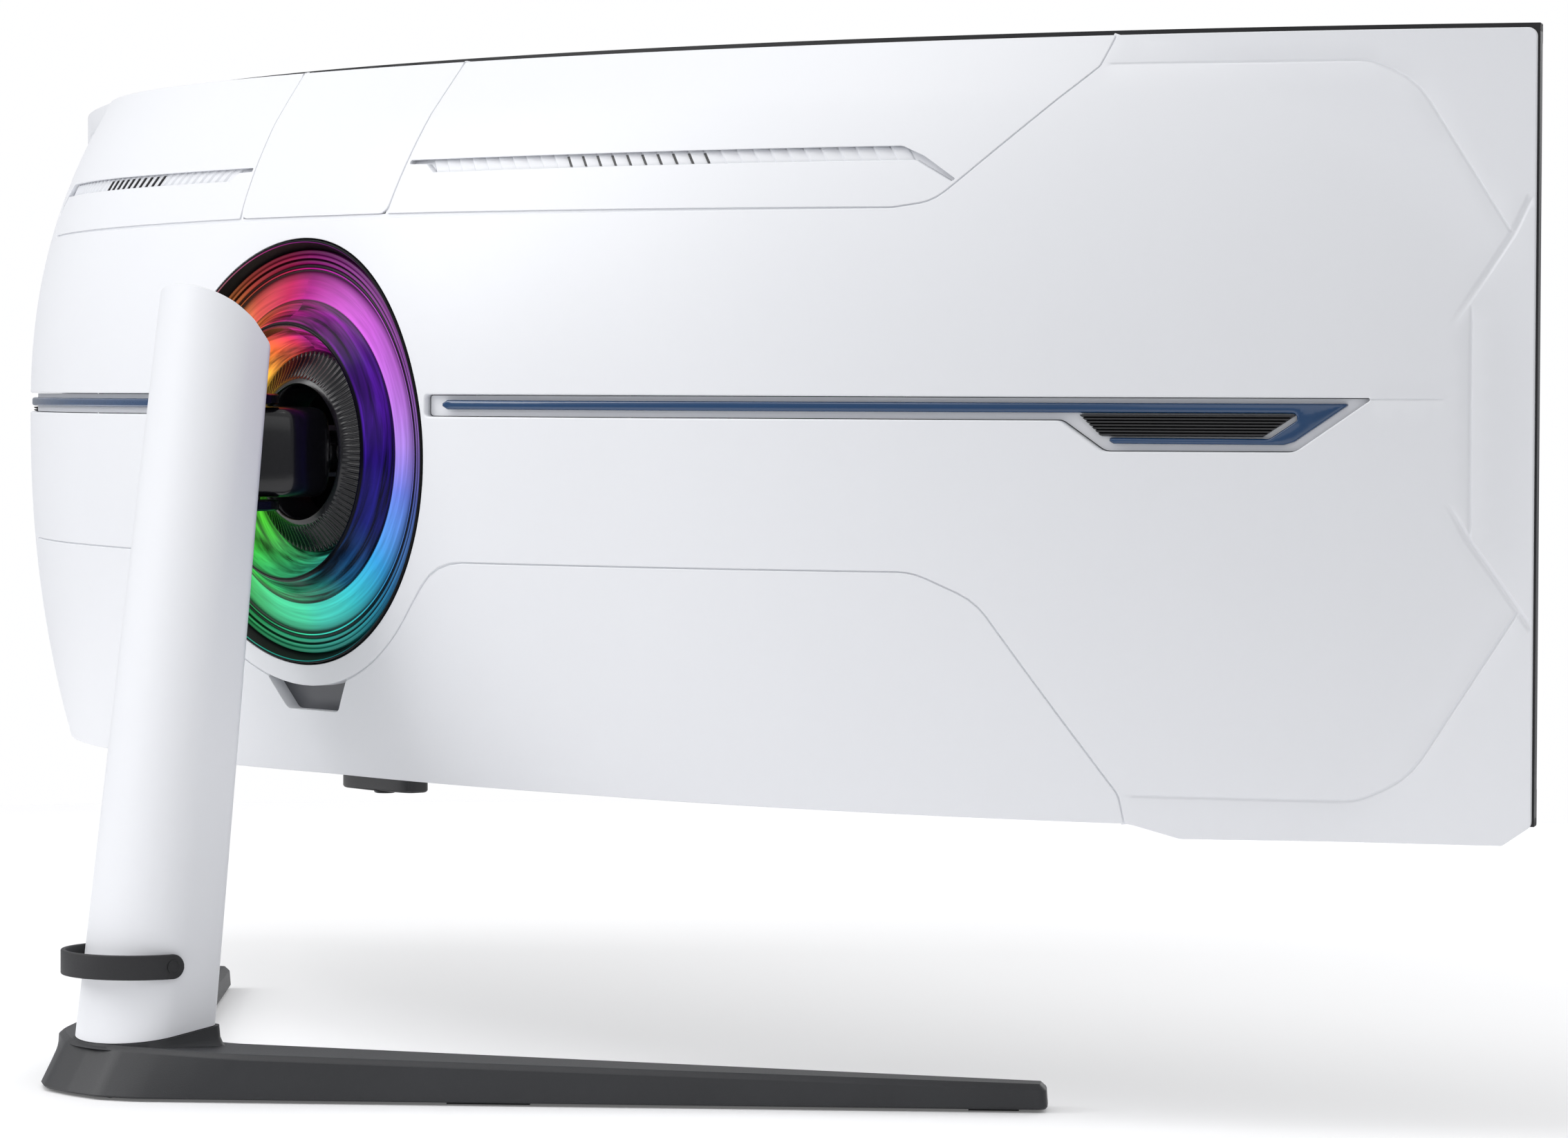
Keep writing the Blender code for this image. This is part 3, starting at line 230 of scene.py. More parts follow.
def inset(loop, amount):
    """Move a closed loop to its left."""
    ahead = np.roll(loop, -1, 0) - loop
    behind = loop - np.roll(loop, 1, 0)
    ahead /= np.hypot(*ahead.T)[:, None]
    behind /= np.hypot(*behind.T)[:, None]
    left_a = np.stack([-ahead[:, 1], ahead[:, 0]], 1)
    left_b = np.stack([-behind[:, 1], behind[:, 0]], 1)
    middle = left_a + left_b
    middle /= np.hypot(*middle.T)[:, None]
    scale = 1 / np.maximum(0.5, np.sum(middle * left_a, 1))
    return loop + middle * (scale * amount)[:, None]


def inside(points, loops):
    """True for points inside an odd number of the loops."""
    odd = np.zeros(len(points), bool)
    x, y = points.T
    for loop in loops:
        for a, b in zip(loop, np.roll(loop, -1, 0)):
            if a[1] == b[1]:
                continue
            crosses = (a[1] > y) != (b[1] > y)
            odd ^= crosses & (x < (b[0] - a[0]) * (y - a[1]) / (b[1] - a[1]) + a[0])
    return odd


def flip(points, side):
    return [(side * s, z) for s, z in points]


def both(half):
    return half + [(-s, z) for s, z in reversed(half)]


# ---------------------------------------------------------------- making objects
def piece(name, points, faces, body, slot, replaces=(), finish=None, smooth=40, normals=None):
    """One mesh that rides on a body, with its slot's finish unless another is named."""
    mesh = bpy.data.meshes.new(name)
    mesh.from_pydata([tuple(map(float, p)) for p in points], [], faces)
    mesh.validate()
    mesh.shade_smooth()
    if normals is None:
        mesh.set_sharp_from_angle(angle=math.radians(smooth))
    else:
        mesh.normals_split_custom_set_from_vertices(normals)
    made = bpy.data.objects.new(name, mesh)
    bpy.context.collection.objects.link(made)
    mesh.materials.append(FINISH[finish or slot])
    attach(made, body)
    if replaces:
        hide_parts(*replaces)
    return made


def lathe(name, profile, body, slot, replaces=(), finish=None, sides=192, smooth=40, wobble=None):
    """A ring about the light ring's axis: a closed profile of (radius, t)."""
    count = len(profile)
    angles = 2 * math.pi * np.arange(sides) / sides
    profile = np.array(profile)
    radius = np.tile(profile[:, 0], (sides, 1))
    depth = np.tile(profile[:, 1], (sides, 1))
    if wobble:
        depth = depth + wobble(angles[:, None], radius, depth)
    points = np.stack([radius * np.cos(angles)[:, None], PANEL_Y + depth,
                       PANEL_Z + RING_Z + radius * np.sin(angles)[:, None]], -1).reshape(-1, 3)
    faces = []
    for k in range(sides):
        m = (k + 1) % sides
        for i in range(count):
            j = (i + 1) % count
            faces.append((k * count + i, k * count + j, m * count + j, m * count + i))
    return piece(name, points, outward(points, faces), body, slot, replaces, finish, smooth)


def outward(points, faces):
    """Turn all faces round if the closed shape they make is inside out."""
    volume = 0.0
    for face in faces:
        a = points[face[0]]
        for i in range(1, len(face) - 1):
            volume += float(np.dot(a, np.cross(points[face[i]], points[face[i + 1]])))
    return faces if volume > 0 else [tuple(reversed(face)) for face in faces]


def between(rows, count):
    """Faces that join each row of a count of points, which closes on itself, to the next row."""
    faces = []
    for a in range(0, (rows - 1) * count, count):
        b = a + count
        faces += [(a + i, a + (i + 1) % count, b + (i + 1) % count, b + i) for i in range(count)]
    return faces


def loft(name, rows, body, slot, replaces=(), finish=None, smooth=35):
    """A closed skin through loops that all have the same number of points."""
    count = len(rows[0])
    points = np.concatenate([np.asarray(row, float) for row in rows])
    faces = between(len(rows), count)
    faces.append(tuple(reversed(range(count))))
    faces.append(tuple((len(rows) - 1) * count + i for i in range(count)))
    return piece(name, points, outward(points, faces), body, slot, replaces, finish, smooth)


# ---------------------------------------------------------------- materials
class Nodes:
    """A Principled material and short ways to add nodes to it."""

    def __init__(self, name, **values):
        self.material = bpy.data.materials.new(name)
        self.material.use_nodes = True
        self.tree = self.material.node_tree
        self.shader = self.tree.nodes["Principled BSDF"]
        for socket, value in values.items():
            self.shader.inputs[socket.replace("_", " ")].default_value = value
        self.place = self.tree.nodes.new("ShaderNodeTexCoord").outputs["Object"]

    def add(self, kind, **settings):
        node = self.tree.nodes.new(kind)
        for key, value in settings.items():
            setattr(node, key, value)
        return node

    def link(self, source, target):
        self.tree.links.new(source, target)

    def math(self, operation, a, b=None):
        node = self.add("ShaderNodeMath", operation=operation)
        for index, value in enumerate((a, b)):
            if value is None:
                continue
            if isinstance(value, (int, float)):
                node.inputs[index].default_value = value
            else:
                self.link(value, node.inputs[index])
        return node.outputs[0]

    def noise(self, scale, detail=3.0, roughness=0.5, place=None, distortion=0.0):
        node = self.add("ShaderNodeTexNoise")
        node.inputs["Scale"].default_value = scale
        node.inputs["Detail"].default_value = detail
        node.inputs["Roughness"].default_value = roughness
        node.inputs["Distortion"].default_value = distortion
        self.link(place or self.place, node.inputs["Vector"])
        return node.outputs["Fac"]

    def ramp(self, factor, stops):
        node = self.add("ShaderNodeValToRGB")
        elements = node.color_ramp.elements
        while len(elements) < len(stops):
            elements.new(0.5)
        for element, (position, colour) in zip(elements, stops):
            element.position = position
            element.color = (*colour, 1.0) if isinstance(colour, tuple) else (colour, colour, colour, 1.0)
        self.link(factor, node.inputs["Fac"])
        return node.outputs["Color"]

    def mix(self, factor, a, b, blend="MIX"):
        node = self.add("ShaderNodeMix", data_type="RGBA", blend_type=blend)
        for socket, value in ((node.inputs[0], factor), (node.inputs[6], a), (node.inputs[7], b)):
            if isinstance(value, (int, float)):
                socket.default_value = value
            elif isinstance(value, tuple):
                socket.default_value = (*value, 1.0)
            else:
                self.link(value, socket)
        return node.outputs[2]

    def range(self, value, low, high):
        node = self.add("ShaderNodeMapRange")
        node.inputs["To Min"].default_value = low
        node.inputs["To Max"].default_value = high
        self.link(value, node.inputs["Value"])
        return node.outputs["Result"]

    def bump(self, height, strength, distance):
        node = self.add("ShaderNodeBump")
        node.inputs["Strength"].default_value = strength
        node.inputs["Distance"].default_value = distance
        self.link(height, node.inputs["Height"])
        self.link(node.outputs["Normal"], self.shader.inputs["Normal"])

    def split(self):
        node = self.add("ShaderNodeSeparateXYZ")
        self.link(self.place, node.inputs[0])
        return node.outputs

    def set(self, socket, value):
        self.link(value, self.shader.inputs[socket])


def grained(name, colour, roughness, grain=900.0, depth=0.00006, spread=0.06, tint=0.03, **values):
    """Moulded plastic, paint or rubber: fine grain, and slight cloudiness of colour and gloss."""
    made = Nodes(name, Roughness=roughness, **values)
    cloud = made.noise(18.0, 2.0)
    darker = tuple(c * (1 - tint) for c in colour)
    lighter = tuple(min(1.0, c * (1 + tint)) for c in colour)
    made.set("Base Color", made.mix(cloud, darker, lighter))
    fine = made.noise(grain, 2.0, 0.6)
    made.set("Roughness", made.range(fine, roughness - spread, roughness + spread))
    made.bump(fine, 0.35, depth)
    return made.material


def brushed(name, colour, roughness, **values):
    """Metal with fine drawn lines."""
    made = Nodes(name, Metallic=1.0, **values)
    stretch = made.add("ShaderNodeMapping")
    stretch.inputs["Scale"].default_value = (1.0, 1.0, 30.0)
    made.link(made.place, stretch.inputs["Vector"])
    lines = made.noise(120.0, 4.0, 0.6, place=stretch.outputs["Vector"])
    made.set("Base Color", made.mix(lines, tuple(c * 0.9 for c in colour), colour))
    made.set("Roughness", made.range(lines, roughness - 0.08, roughness + 0.08))
    made.bump(lines, 0.2, 0.00004)
    return made.material


def board_material():
    made = Nodes("circuit_board", Roughness=0.45, Coat_Weight=0.3)
    tracks = made.add("ShaderNodeTexBrick", offset=0.5)
    tracks.inputs["Scale"].default_value = 60.0
    tracks.inputs["Mortar Size"].default_value = 0.06
    tracks.inputs["Color1"].default_value = (0.015, 0.14, 0.06, 1)
    tracks.inputs["Color2"].default_value = (0.012, 0.11, 0.05, 1)
    tracks.inputs["Mortar"].default_value = (0.04, 0.24, 0.11, 1)
    made.link(made.place, tracks.inputs["Vector"])
    made.set("Base Color", tracks.outputs["Color"])
    return made.material


# hue of the lit ring's bowl, clockwise from the top as seen from behind, as shares of a turn
BOWL_HUES = [
    (0.000, (0.42, 0.012, 0.25)), (0.060, (0.52, 0.05, 0.48)), (0.130, (0.62, 0.12, 0.72)),
    (0.240, (0.46, 0.26, 0.85)), (0.300, (0.17, 0.24, 0.84)), (0.370, (0.05, 0.38, 0.80)),
    (0.430, (0.05, 0.60, 0.66)), (0.500, (0.06, 0.68, 0.38)), (0.590, (0.04, 0.52, 0.12)),
    (0.680, (0.05, 0.42, 0.02)), (0.770, (0.38, 0.44, 0.02)), (0.850, (0.80, 0.42, 0.05)),
    (0.920, (0.74, 0.10, 0.07)), (0.970, (0.60, 0.02, 0.12)), (1.000, (0.42, 0.012, 0.25)),
]
# and of the collar inside it, which is darker
COLLAR_HUES = [
    (0.000, (0.40, 0.02, 0.20)), (0.070, (0.26, 0.01, 0.30)), (0.150, (0.075, 0.006, 0.26)),
    (0.270, (0.020, 0.006, 0.22)), (0.340, (0.010, 0.014, 0.19)), (0.420, (0.010, 0.10, 0.20)),
    (0.500, (0.03, 0.34, 0.15)), (0.600, (0.04, 0.48, 0.04)), (0.720, (0.10, 0.50, 0.01)),
    (0.800, (0.70, 0.52, 0.03)), (0.870, (0.88, 0.50, 0.04)), (0.930, (0.80, 0.14, 0.04)),
    (0.970, (0.66, 0.04, 0.09)), (1.000, (0.40, 0.02, 0.20)),
]
# brightness of the lens from its inner edge to its outer edge, in metres from its axis: its own glow, with
# painted highlights and reflections in the thin brightest bands and painted shade in the near-black bands
LENS_GLOW_SHEEN_AND_SHADE = [
    (0.0512, 0.55), (0.0530, 1.00), (0.0600, 1.00), (0.0622, 0.70), (0.0630, 0.02), (0.0646, 0.02),
    (0.0652, 1.10), (0.0658, 0.45), (0.0700, 0.75), (0.0738, 0.95), (0.0752, 0.40), (0.0757, 0.10),
    (0.0762, 1.15), (0.0800, 1.00), (0.0850, 0.90), (0.0885, 0.45), (0.0902, 0.03), (0.0911, 0.05),
    (0.0914, 1.60), (0.0918, 0.03), (0.0936, 0.02), (0.0940, 0.55), (0.0951, 0.40), (0.0955, 0.02),
    (0.0964, 0.02), (0.0968, 0.55), (0.0979, 0.35), (0.0983, 0.02), (0.0990, 0.35), (0.1002, 0.25),
    (0.1006, 0.004), (0.1040, 0.004),
]
BOWL_INSIDE = 0.0757  # the collar ends and the bowl begins at this radius
# a painted reflection of the ring's light, a thin line on the rim's inner bevel: its place and width, and its
# hues
RIM_REFLECTION_AT, RIM_REFLECTION_WIDE = 0.1046, 0.0016
RIM_REFLECTION_HUES = [
    (0.00, (0.30, 0.01, 0.30)), (0.25, (0.05, 0.01, 0.35)), (0.45, (0.01, 0.35, 0.40)),
    (0.55, (0.01, 0.50, 0.35)), (0.75, (0.05, 0.30, 0.02)), (0.88, (0.50, 0.20, 0.20)),
    (0.95, (0.50, 0.02, 0.25)), (1.00, (0.30, 0.01, 0.30)),
]


def ring_angle(made):
    """Share of a turn round the ring's axis, clockwise from the top as seen from behind, and radius."""
    x, _, z = made.split()
    up = made.math("SUBTRACT", z, PANEL_Z + RING_Z)
    across = made.math("MULTIPLY", x, -1.0)
    turn = made.math("DIVIDE", made.math("ARCTAN2", across, up), 2 * math.pi)
    radius = made.math("SQRT", made.math("ADD", made.math("MULTIPLY", x, x), made.math("MULTIPLY", up, up)))
    return made.math("FRACT", made.math("ADD", turn, 1.0)), radius


def ring_material(name, glow, **values):
    """Iridescent plastic lit in the colours of the rainbow, its glow banded with painted highlights, painted
    reflections and painted shade.
    """
    made = Nodes(name, **values)
    turn, radius = ring_angle(made)
    cloud = made.noise(11.0, 2.0)
    drift = made.math("MULTIPLY", made.math("SUBTRACT", cloud, 0.5), 0.10)
    place = made.math("FRACT", made.math("ADD", made.math("ADD", turn, drift), 1.0))
    inner, outer = LENS_GLOW_SHEEN_AND_SHADE[0][0], LENS_GLOW_SHEEN_AND_SHADE[-1][0]
    share = made.math("DIVIDE", made.math("SUBTRACT", radius, inner), outer - inner)
    in_collar = made.ramp(radius_step(made, radius, BOWL_INSIDE), [(0.0, 1.0), (1.0, 0.0)])
    hue = made.mix(in_collar, made.ramp(place, BOWL_HUES), made.ramp(place, COLLAR_HUES))
    # the glow's brightness by radius, with painted highlights, reflections and shade in its bands
    light = made.ramp(share, [((r - inner) / (outer - inner), level) for r, level in LENS_GLOW_SHEEN_AND_SHADE])
    # long streaks that run almost along the ring, strongest on the collar
    streak = made.add("ShaderNodeCombineXYZ")
    twist = made.math("ADD", made.math("MULTIPLY", radius, 420.0), made.math("MULTIPLY", turn, 5.0))
    made.link(twist, streak.inputs[0])
    for index, wave in ((1, "SINE"), (2, "COSINE")):
        made.link(made.math("MULTIPLY", made.math(wave, made.math("MULTIPLY", turn, 2 * math.pi)), 1.3),
                  streak.inputs[index])
    lines = made.noise(1.0, 3.0, 0.55, place=streak.outputs[0], distortion=0.6)
    deep = made.ramp(lines, [(0.36, 0.12), (0.46, 0.55), (0.56, 0.95), (0.66, 1.5)])
    soft = made.ramp(lines, [(0.30, 0.72), (0.50, 0.95), (0.66, 1.12)])
    shade = made.mix(in_collar, soft, deep)
    colour = made.mix(1.0, made.mix(1.0, hue, light, "MULTIPLY"), shade, "MULTIPLY")
    made.set("Base Color", made.mix(0.15, (0.0, 0.0, 0.0), colour))
    made.set("Emission Color", colour)
    made.shader.inputs["Emission Strength"].default_value = glow
    return made.material


def radius_step(made, radius, at, over=0.0006):
    """0 inside a radius and 1 outside it."""
    step = made.add("ShaderNodeMapRange")
    step.inputs["From Min"].default_value = at - over / 2
    step.inputs["From Max"].default_value = at + over / 2
    made.link(radius, step.inputs["Value"])
    return step.outputs["Result"]


def rim_material_painted_reflection():
    """Black plastic with a painted reflection of the ring's light, a thin coloured line round its inner edge.
    """
    made = Nodes("ring_rim_black_painted_reflection", Roughness=0.34, Specular_IOR_Level=0.12)
    turn, radius = ring_angle(made)
    line = made.ramp(radius_step(made, radius, RIM_REFLECTION_AT, RIM_REFLECTION_WIDE),
                     [(0.0, 0.0), (0.30, 0.0), (0.42, 0.85), (0.62, 0.0)])
    hue = made.ramp(turn, RIM_REFLECTION_HUES)
    fine = made.noise(1200.0, 2.0)
    made.set("Base Color", made.mix(fine, (0.004, 0.004, 0.005), (0.007, 0.007, 0.008)))
    # the painted reflection: the ring's hues as a glow along the rim's inner bevel
    made.set("Emission Color", made.mix(1.0, hue, line, "MULTIPLY"))
    made.shader.inputs["Emission Strength"].default_value = 1.0
    made.bump(fine, 0.3, 0.00006)
    return made.material


def make_finishes():
    return {
        "white_plastic": grained("white_plastic", (0.80, 0.81, 0.84), 0.42, tint=0.006),
        "black_plastic": grained("black_plastic", (0.012, 0.012, 0.014), 0.42, tint=0.15),
        "blue_trim": grained("blue_trim", (0.006, 0.045, 0.130), 0.24, tint=0.12, Coat_Weight=0.6,
                             Coat_Roughness=0.08),
        "ring_lens": ring_material("ring_lens", 0.92, Roughness=0.24, Specular_IOR_Level=0.10),
        "ring_rim": rim_material_painted_reflection(),
        "hub_black": grained("hub_black", (0.006, 0.006, 0.008), 0.20, tint=0.1),
        "screen_glass": grained("screen_glass", (0.004, 0.004, 0.005), 0.22, grain=2500.0, tint=0.1,
                                Coat_Weight=0.3, Coat_Roughness=0.3),
        "outlet_grey": grained("outlet_grey", (0.085, 0.088, 0.098), 0.38, tint=0.1),
        "diffuser": grained("diffuser", (0.80, 0.80, 0.78), 0.6),
        "steel": brushed("zinc_steel", (0.50, 0.50, 0.52), 0.38),
        "cast_alloy": grained("cast_alloy", (0.014, 0.014, 0.017), 0.40, grain=1400.0, depth=0.00012,
                              tint=0.2, Specular_IOR_Level=0.6),
        "foot_paint": grained("foot_paint", (0.020, 0.021, 0.024), 0.50, grain=1500.0, depth=0.00022,
                              tint=0.25),
        "rubber": grained("rubber", (0.016, 0.016, 0.018), 0.62, grain=1100.0, depth=0.0001, tint=0.2),
        "circuit": board_material(),
        "aluminium": brushed("aluminium", (0.62, 0.63, 0.65), 0.34),
        "nylon": grained("nylon", (0.75, 0.74, 0.70), 0.5, Subsurface_Weight=0.05),
    }


FINISH = make_finishes()
SLOT_OF = {part["node"]: part["material_slot"] for part in frame["record"]["subparts"]}
for node, made in frame["nodes"].items():
    made.data.materials.clear()
    made.data.materials.append(FINISH[SLOT_OF[node]])


# ---------------------------------------------------------------- fine lines pressed into the covers
class Groove:
    """A line pressed into the cover: half its width, its depth, and how far it fades in at its ends."""

    def __init__(self, points, radius, wide, deep, fade):
        self.line = rounded(points, radius, closed=False)
        self.wide, self.deep, self.fade = wide, deep, fade

    def depth(self, points):
        gap, along, length = line_distance(points, self.line)
        share = np.clip(gap / self.wide, 0, 1)
        shape = (1 - share ** 2) ** 2
        for place, fade in ((along, self.fade[0]), (length - along, self.fade[1])):
            if fade > 0:
                shape = shape * np.clip(place / fade, 0, 1)
        return self.deep * shape

    def rows(self):
        """Mesh lines that follow the groove."""
        left = left_of(self.line)
        return [self.line + left * self.wide * share for share in (-1.0, -0.5, 0.0, 0.5, 1.0)]


# the grooves of one side: corners, their rounding, half width, depth, and the fades at both ends
GROOVE_LINES = [
    ([(0.4145, 0.1655), (0.5360, 0.1655), (0.5575, 0.1563), (0.6000, 0.0880), (0.6018, 0.0874)],
     [0, 0.030, 0.045, 0.001, 0], 0.0011, 0.0007, (0.004, 0.002)),
    ([(0.6095, 0.1040), (0.6018, 0.0874), (0.5735, 0.0430)], 0.01, 0.0024, 0.0011, (0.001, 0.030)),
    ([(0.5835, 0.0550), (0.5835, -0.0520)], 0, 0.0012, 0.0008, (0.008, 0.004)),
    ([(0.5738, -0.0350), (0.5835, -0.0528), (0.6110, -0.0925)], 0.01, 0.0022, 0.0013, (0.014, 0.001)),
    ([(0.6050, -0.0840), (0.5560, -0.1610), (0.5330, -0.1715), (0.4330, -0.1703)],
     [0, 0.045, 0.030, 0], 0.0012, 0.0009, (0.002, 0.001)),
    ([(0.5405, 0.0116), (0.5738, 0.0117)], 0, 0.0009, 0.0007, (0.001, 0.004)),
]
GROOVES = [Groove(flip(points, side), *rest) for side, _ in SIDES for points, *rest in GROOVE_LINES]


def surface(points, deeper=0.0):
    """Places on the cover's outer face, less the depth of the grooves there."""
    s, z = points.T
    t = bulge(s, z)
    for groove in GROOVES:
        reach = np.sort(groove.line[:, 0])[[0, -1]]
        near = np.abs(s - np.clip(s, *reach)) < groove.wide
        if near.any():
            t[near] -= groove.depth(points[near])
    return on_panel(s, t - deeper, z)


def surface_normals(points):
    tiny = 2e-4
    s, z = np.array([tiny, 0.0]), np.array([0.0, tiny])
    along = surface(points + s) - surface(points - s)
    up = surface(points + z) - surface(points - z)
    normal = np.cross(up, along)
    return normal / np.linalg.norm(normal, axis=1)[:, None]


# ---------------------------------------------------------------- covers
def tree_of(points):
    tree = KDTree(len(points))
    for index, (s, z) in enumerate(points):
        tree.insert((s, z, 0), index)
    tree.balance()
    return tree


def groove_mesh(edges, edge_tree, first):
    """Mesh points and lines along the grooves inside the cover's edges, numbered from first."""
    extra, lines = [], []
    for groove in GROOVES:
        for row in groove.rows():
            keep = inside(row, edges)
            keep &= np.array([edge_tree.find((s, z, 0))[2] > EDGE_STEP * 0.45 for s, z in row])
            last = None
            for point, good in zip(row, keep):
                if not good:
                    last = None
                    continue
                index = first + len(extra)
                extra.append(point)
                if last is not None:
                    lines.append((last, index))
                last = index
    return extra, lines


def field_points(outline, edges, busy):
    """Staggered mesh points inside the edges, at some distance from all the points that are there."""
    low, high = outline.min(0), outline.max(0)
    columns = np.arange(math.ceil(low[0] / GRID), math.floor(high[0] / GRID) + 1) * GRID
    rows = np.arange(math.ceil(low[1] / GRID), math.floor(high[1] / GRID) + 1) * GRID
    field = np.array([(s + (GRID / 2 if k % 2 else 0), z) for k, z in enumerate(rows) for s in columns])
    field = field[inside(field, edges)]
    return [p for p in field if busy.find((p[0], p[1], 0))[2] > GRID * 0.55]


def flat_mesh(outline, edges):
    """The unrolled cover's mesh: its points, its triangles and the numbers of each edge's points."""
    fixed = np.concatenate(edges)
    starts = np.cumsum([0] + [len(edge) for edge in edges])
    sides = [(int(start) + i, int(start) + (i + 1) % len(edge))
             for start, edge in zip(starts, edges) for i in range(len(edge))]
    extra, lines = groove_mesh(edges, tree_of(fixed), len(fixed))
    field = field_points(outline, edges, tree_of([*fixed, *extra]))
    everything = [Vector(p) for p in [*fixed, *extra, *field]]
    flat, _, triangles, origins, _, _ = delaunay_2d_cdt(everything, sides + lines, [], 0, 1e-7)
    flat = np.array([tuple(p) for p in flat])
    place_of = {source: index for index, sources in enumerate(origins) for source in sources}
    triangles = np.array([tuple(t) for t in triangles])
    triangles = triangles[inside(flat[triangles].mean(1), edges)]
    used = np.unique(triangles)
    renamed = np.full(len(flat), -1)
    renamed[used] = np.arange(len(used))
    triangles = renamed[triangles]
    flat = flat[used]
    if area(flat[triangles[0]]) < 0:
        triangles = triangles[:, ::-1]
    rims = [[int(renamed[place_of[start + i]]) for i in range(len(edge))]
            for start, edge in zip(starts, edges)]
    return flat, triangles, rims


def cover(name, outer, holes, walls, replaces, rounds=None):
    """A curved white shell with rounded edges.

    walls gives, for each outline, how deep its edge goes. None is down to the panel.
    """
    loops = [turned_to(outer, 1)] + [turned_to(hole, -1) for hole in holes]
    rounds = rounds or [EDGE_ROUND] * len(loops)
    edges = [inset(loop, SEAM / 2 + edge) for loop, edge in zip(loops, rounds)]
    flat, triangles, rims = flat_mesh(loops[0], edges)
    count = len(flat)
    # the inner skin is the same mesh, pulled in at its edge
    wall_insets = [SEAM / 2 + max(COVER_WALL, edge + 0.0004) for edge in rounds]
    inner_flat = flat.copy()
    for loop, rim, wall_inset in zip(loops, rims, wall_insets):
        inner_flat[rim] = inset(loop, wall_inset)
    inner_depth = np.maximum(bulge(inner_flat[:, 0], inner_flat[:, 1]) - COVER_WALL, 0.0012)
    points = [surface(flat), on_panel(inner_flat[:, 0], inner_depth, inner_flat[:, 1])]
    faces = [tuple(t) for t in triangles[:, ::-1]] + [tuple(t + count) for t in triangles]
    total = 2 * count
    for loop, rim, wall, edge, wall_inset in zip(loops, rims, walls, rounds, wall_insets):
        size = len(loop)
        layers = []
        for angle in (math.pi / 8, math.pi / 4, 3 * math.pi / 8, math.pi / 2):
            spots = inset(loop, SEAM / 2 + edge * (1 - math.sin(angle)))
            layers.append(surface(spots, edge * (1 - math.cos(angle))))
        for amount in (SEAM / 2, wall_inset):
            spots = inset(loop, amount)
            depth = bulge(spots[:, 0], spots[:, 1])
            foot = np.full(size, GAP) if wall is None else depth - np.minimum(wall, depth - 0.0008)
            layers.append(on_panel(spots[:, 0], foot, spots[:, 1]))
        previous = rim
        for layer in layers:
            points.append(layer)
            current = list(range(total, total + size))
            total += size
            faces += [(previous[i], previous[(i + 1) % size], current[(i + 1) % size], current[i])
                      for i in range(size)]
            previous = current
        inner = [index + count for index in rim]
        faces += [(previous[i], previous[(i + 1) % size], inner[(i + 1) % size], inner[i])
                  for i in range(size)]
    points = np.concatenate(points)
    normals = surface_normals(flat)
    facing = normals if normals[0, 1] > 0 else -normals
    blank = [(0.0, 0.0, 0.0)] * (len(points) - count)
    return piece(name, points, outward(points, faces), "head", "white_plastic", replaces,
                 normals=[*map(tuple, facing), *blank])


def ring_hole(radius, count=220):
    """The light ring's opening, drawn on the unrolled cover."""
    angles = [2 * math.pi * k / count for k in range(count)]
    return np.array([unrolled(radius * math.cos(a), RING_Z + radius * math.sin(a)) for a in angles])


# the seam between the top covers and the rear cover, and the two that cut the top covers apart
TOP_HALF = [(0.4174, COVER_TOP), (0.4125, 0.1650), (0.3575, 0.1108), (0.3480, 0.1020), (0.3300, 0.0992)]
TOP_ROUND = [0.001, 0.004, 0.012, 0.02, 0.02]
TOP_LOW = 0.1005
CROSS_HIGH, CROSS_LOW = 0.0645, 0.0567


def top_side_outline(side):
    points = [(CROSS_HIGH, COVER_TOP)] + TOP_HALF + [(CROSS_LOW, TOP_LOW)]
    return rounded(flip(points, side), [0.0003] + TOP_ROUND + [0.0010])


def top_middle_outline():
    return rounded(both([(CROSS_HIGH, COVER_TOP), (CROSS_LOW, TOP_LOW)]), [0.0003, 0.006, 0.006, 0.0003])


BAND_RADIUS = 0.1173  # outer radius of the white band round the ring
BAND_FROM, BAND_TO = 16.0, 50.0  # where the port cover's edge follows it, in degrees from straight down
BAND_STEP = 4.0


def band_points(start, stop):
    """Points of the white band's outer edge, unrolled."""
    return [unrolled(BAND_RADIUS * math.sin(angle), RING_Z - BAND_RADIUS * math.cos(angle))
            for angle in np.radians(np.arange(start, stop + 0.1, BAND_STEP))]


PORT_REST = [(0.1022, -0.0688), (0.3440, -0.0685), (0.3715, -0.0815), (0.4286, -0.1700), (0.4302, -0.1838)]
REST_ROUND = [0.046, 0.03, 0.03, 0.012, 0.003]
PORT_HALF = band_points(2.0, BAND_TO) + PORT_REST
PORT_ROUND = [0.004] * (len(PORT_HALF) - len(PORT_REST)) + REST_ROUND
NOTCH = [(0.0192, -0.1456), (0.0298, -0.1296)]


def port_outline():
    """The port cover, with the cable outlet cut out of its upper edge."""
    edge = band_points(BAND_FROM + BAND_STEP, BAND_TO)
    half = NOTCH + edge + PORT_REST + [(0.3030, -0.1817), (0.1750, -0.1798), (0.0, -0.1785)]
    radii = [0.004, 0.0015] + [0.004] * len(edge) + REST_ROUND[:-1] + [0.001, 0.2, 0.2, 0.2]
    whole = half + [(-s, z) for s, z in reversed(half[:-1])]
    return rounded(whole, radii + radii[:-1][::-1])


def cover_outline():
    """The rear cover, open at the top for the top covers and at the bottom for the port cover."""
    half = TOP_HALF[::-1] + [(COVER_END, COVER_TOP), (COVER_END, -0.1815), (0.5985, LIP_BOTTOM),
                             (0.4540, LIP_BOTTOM), (0.4340, COVER_BOTTOM)] + PORT_HALF[::-1]
    radii = TOP_ROUND[::-1] + [0.004, 0.004, 0.003, 0.008, 0.004] + PORT_ROUND[::-1]
    return rounded(both(half), radii + radii[::-1])


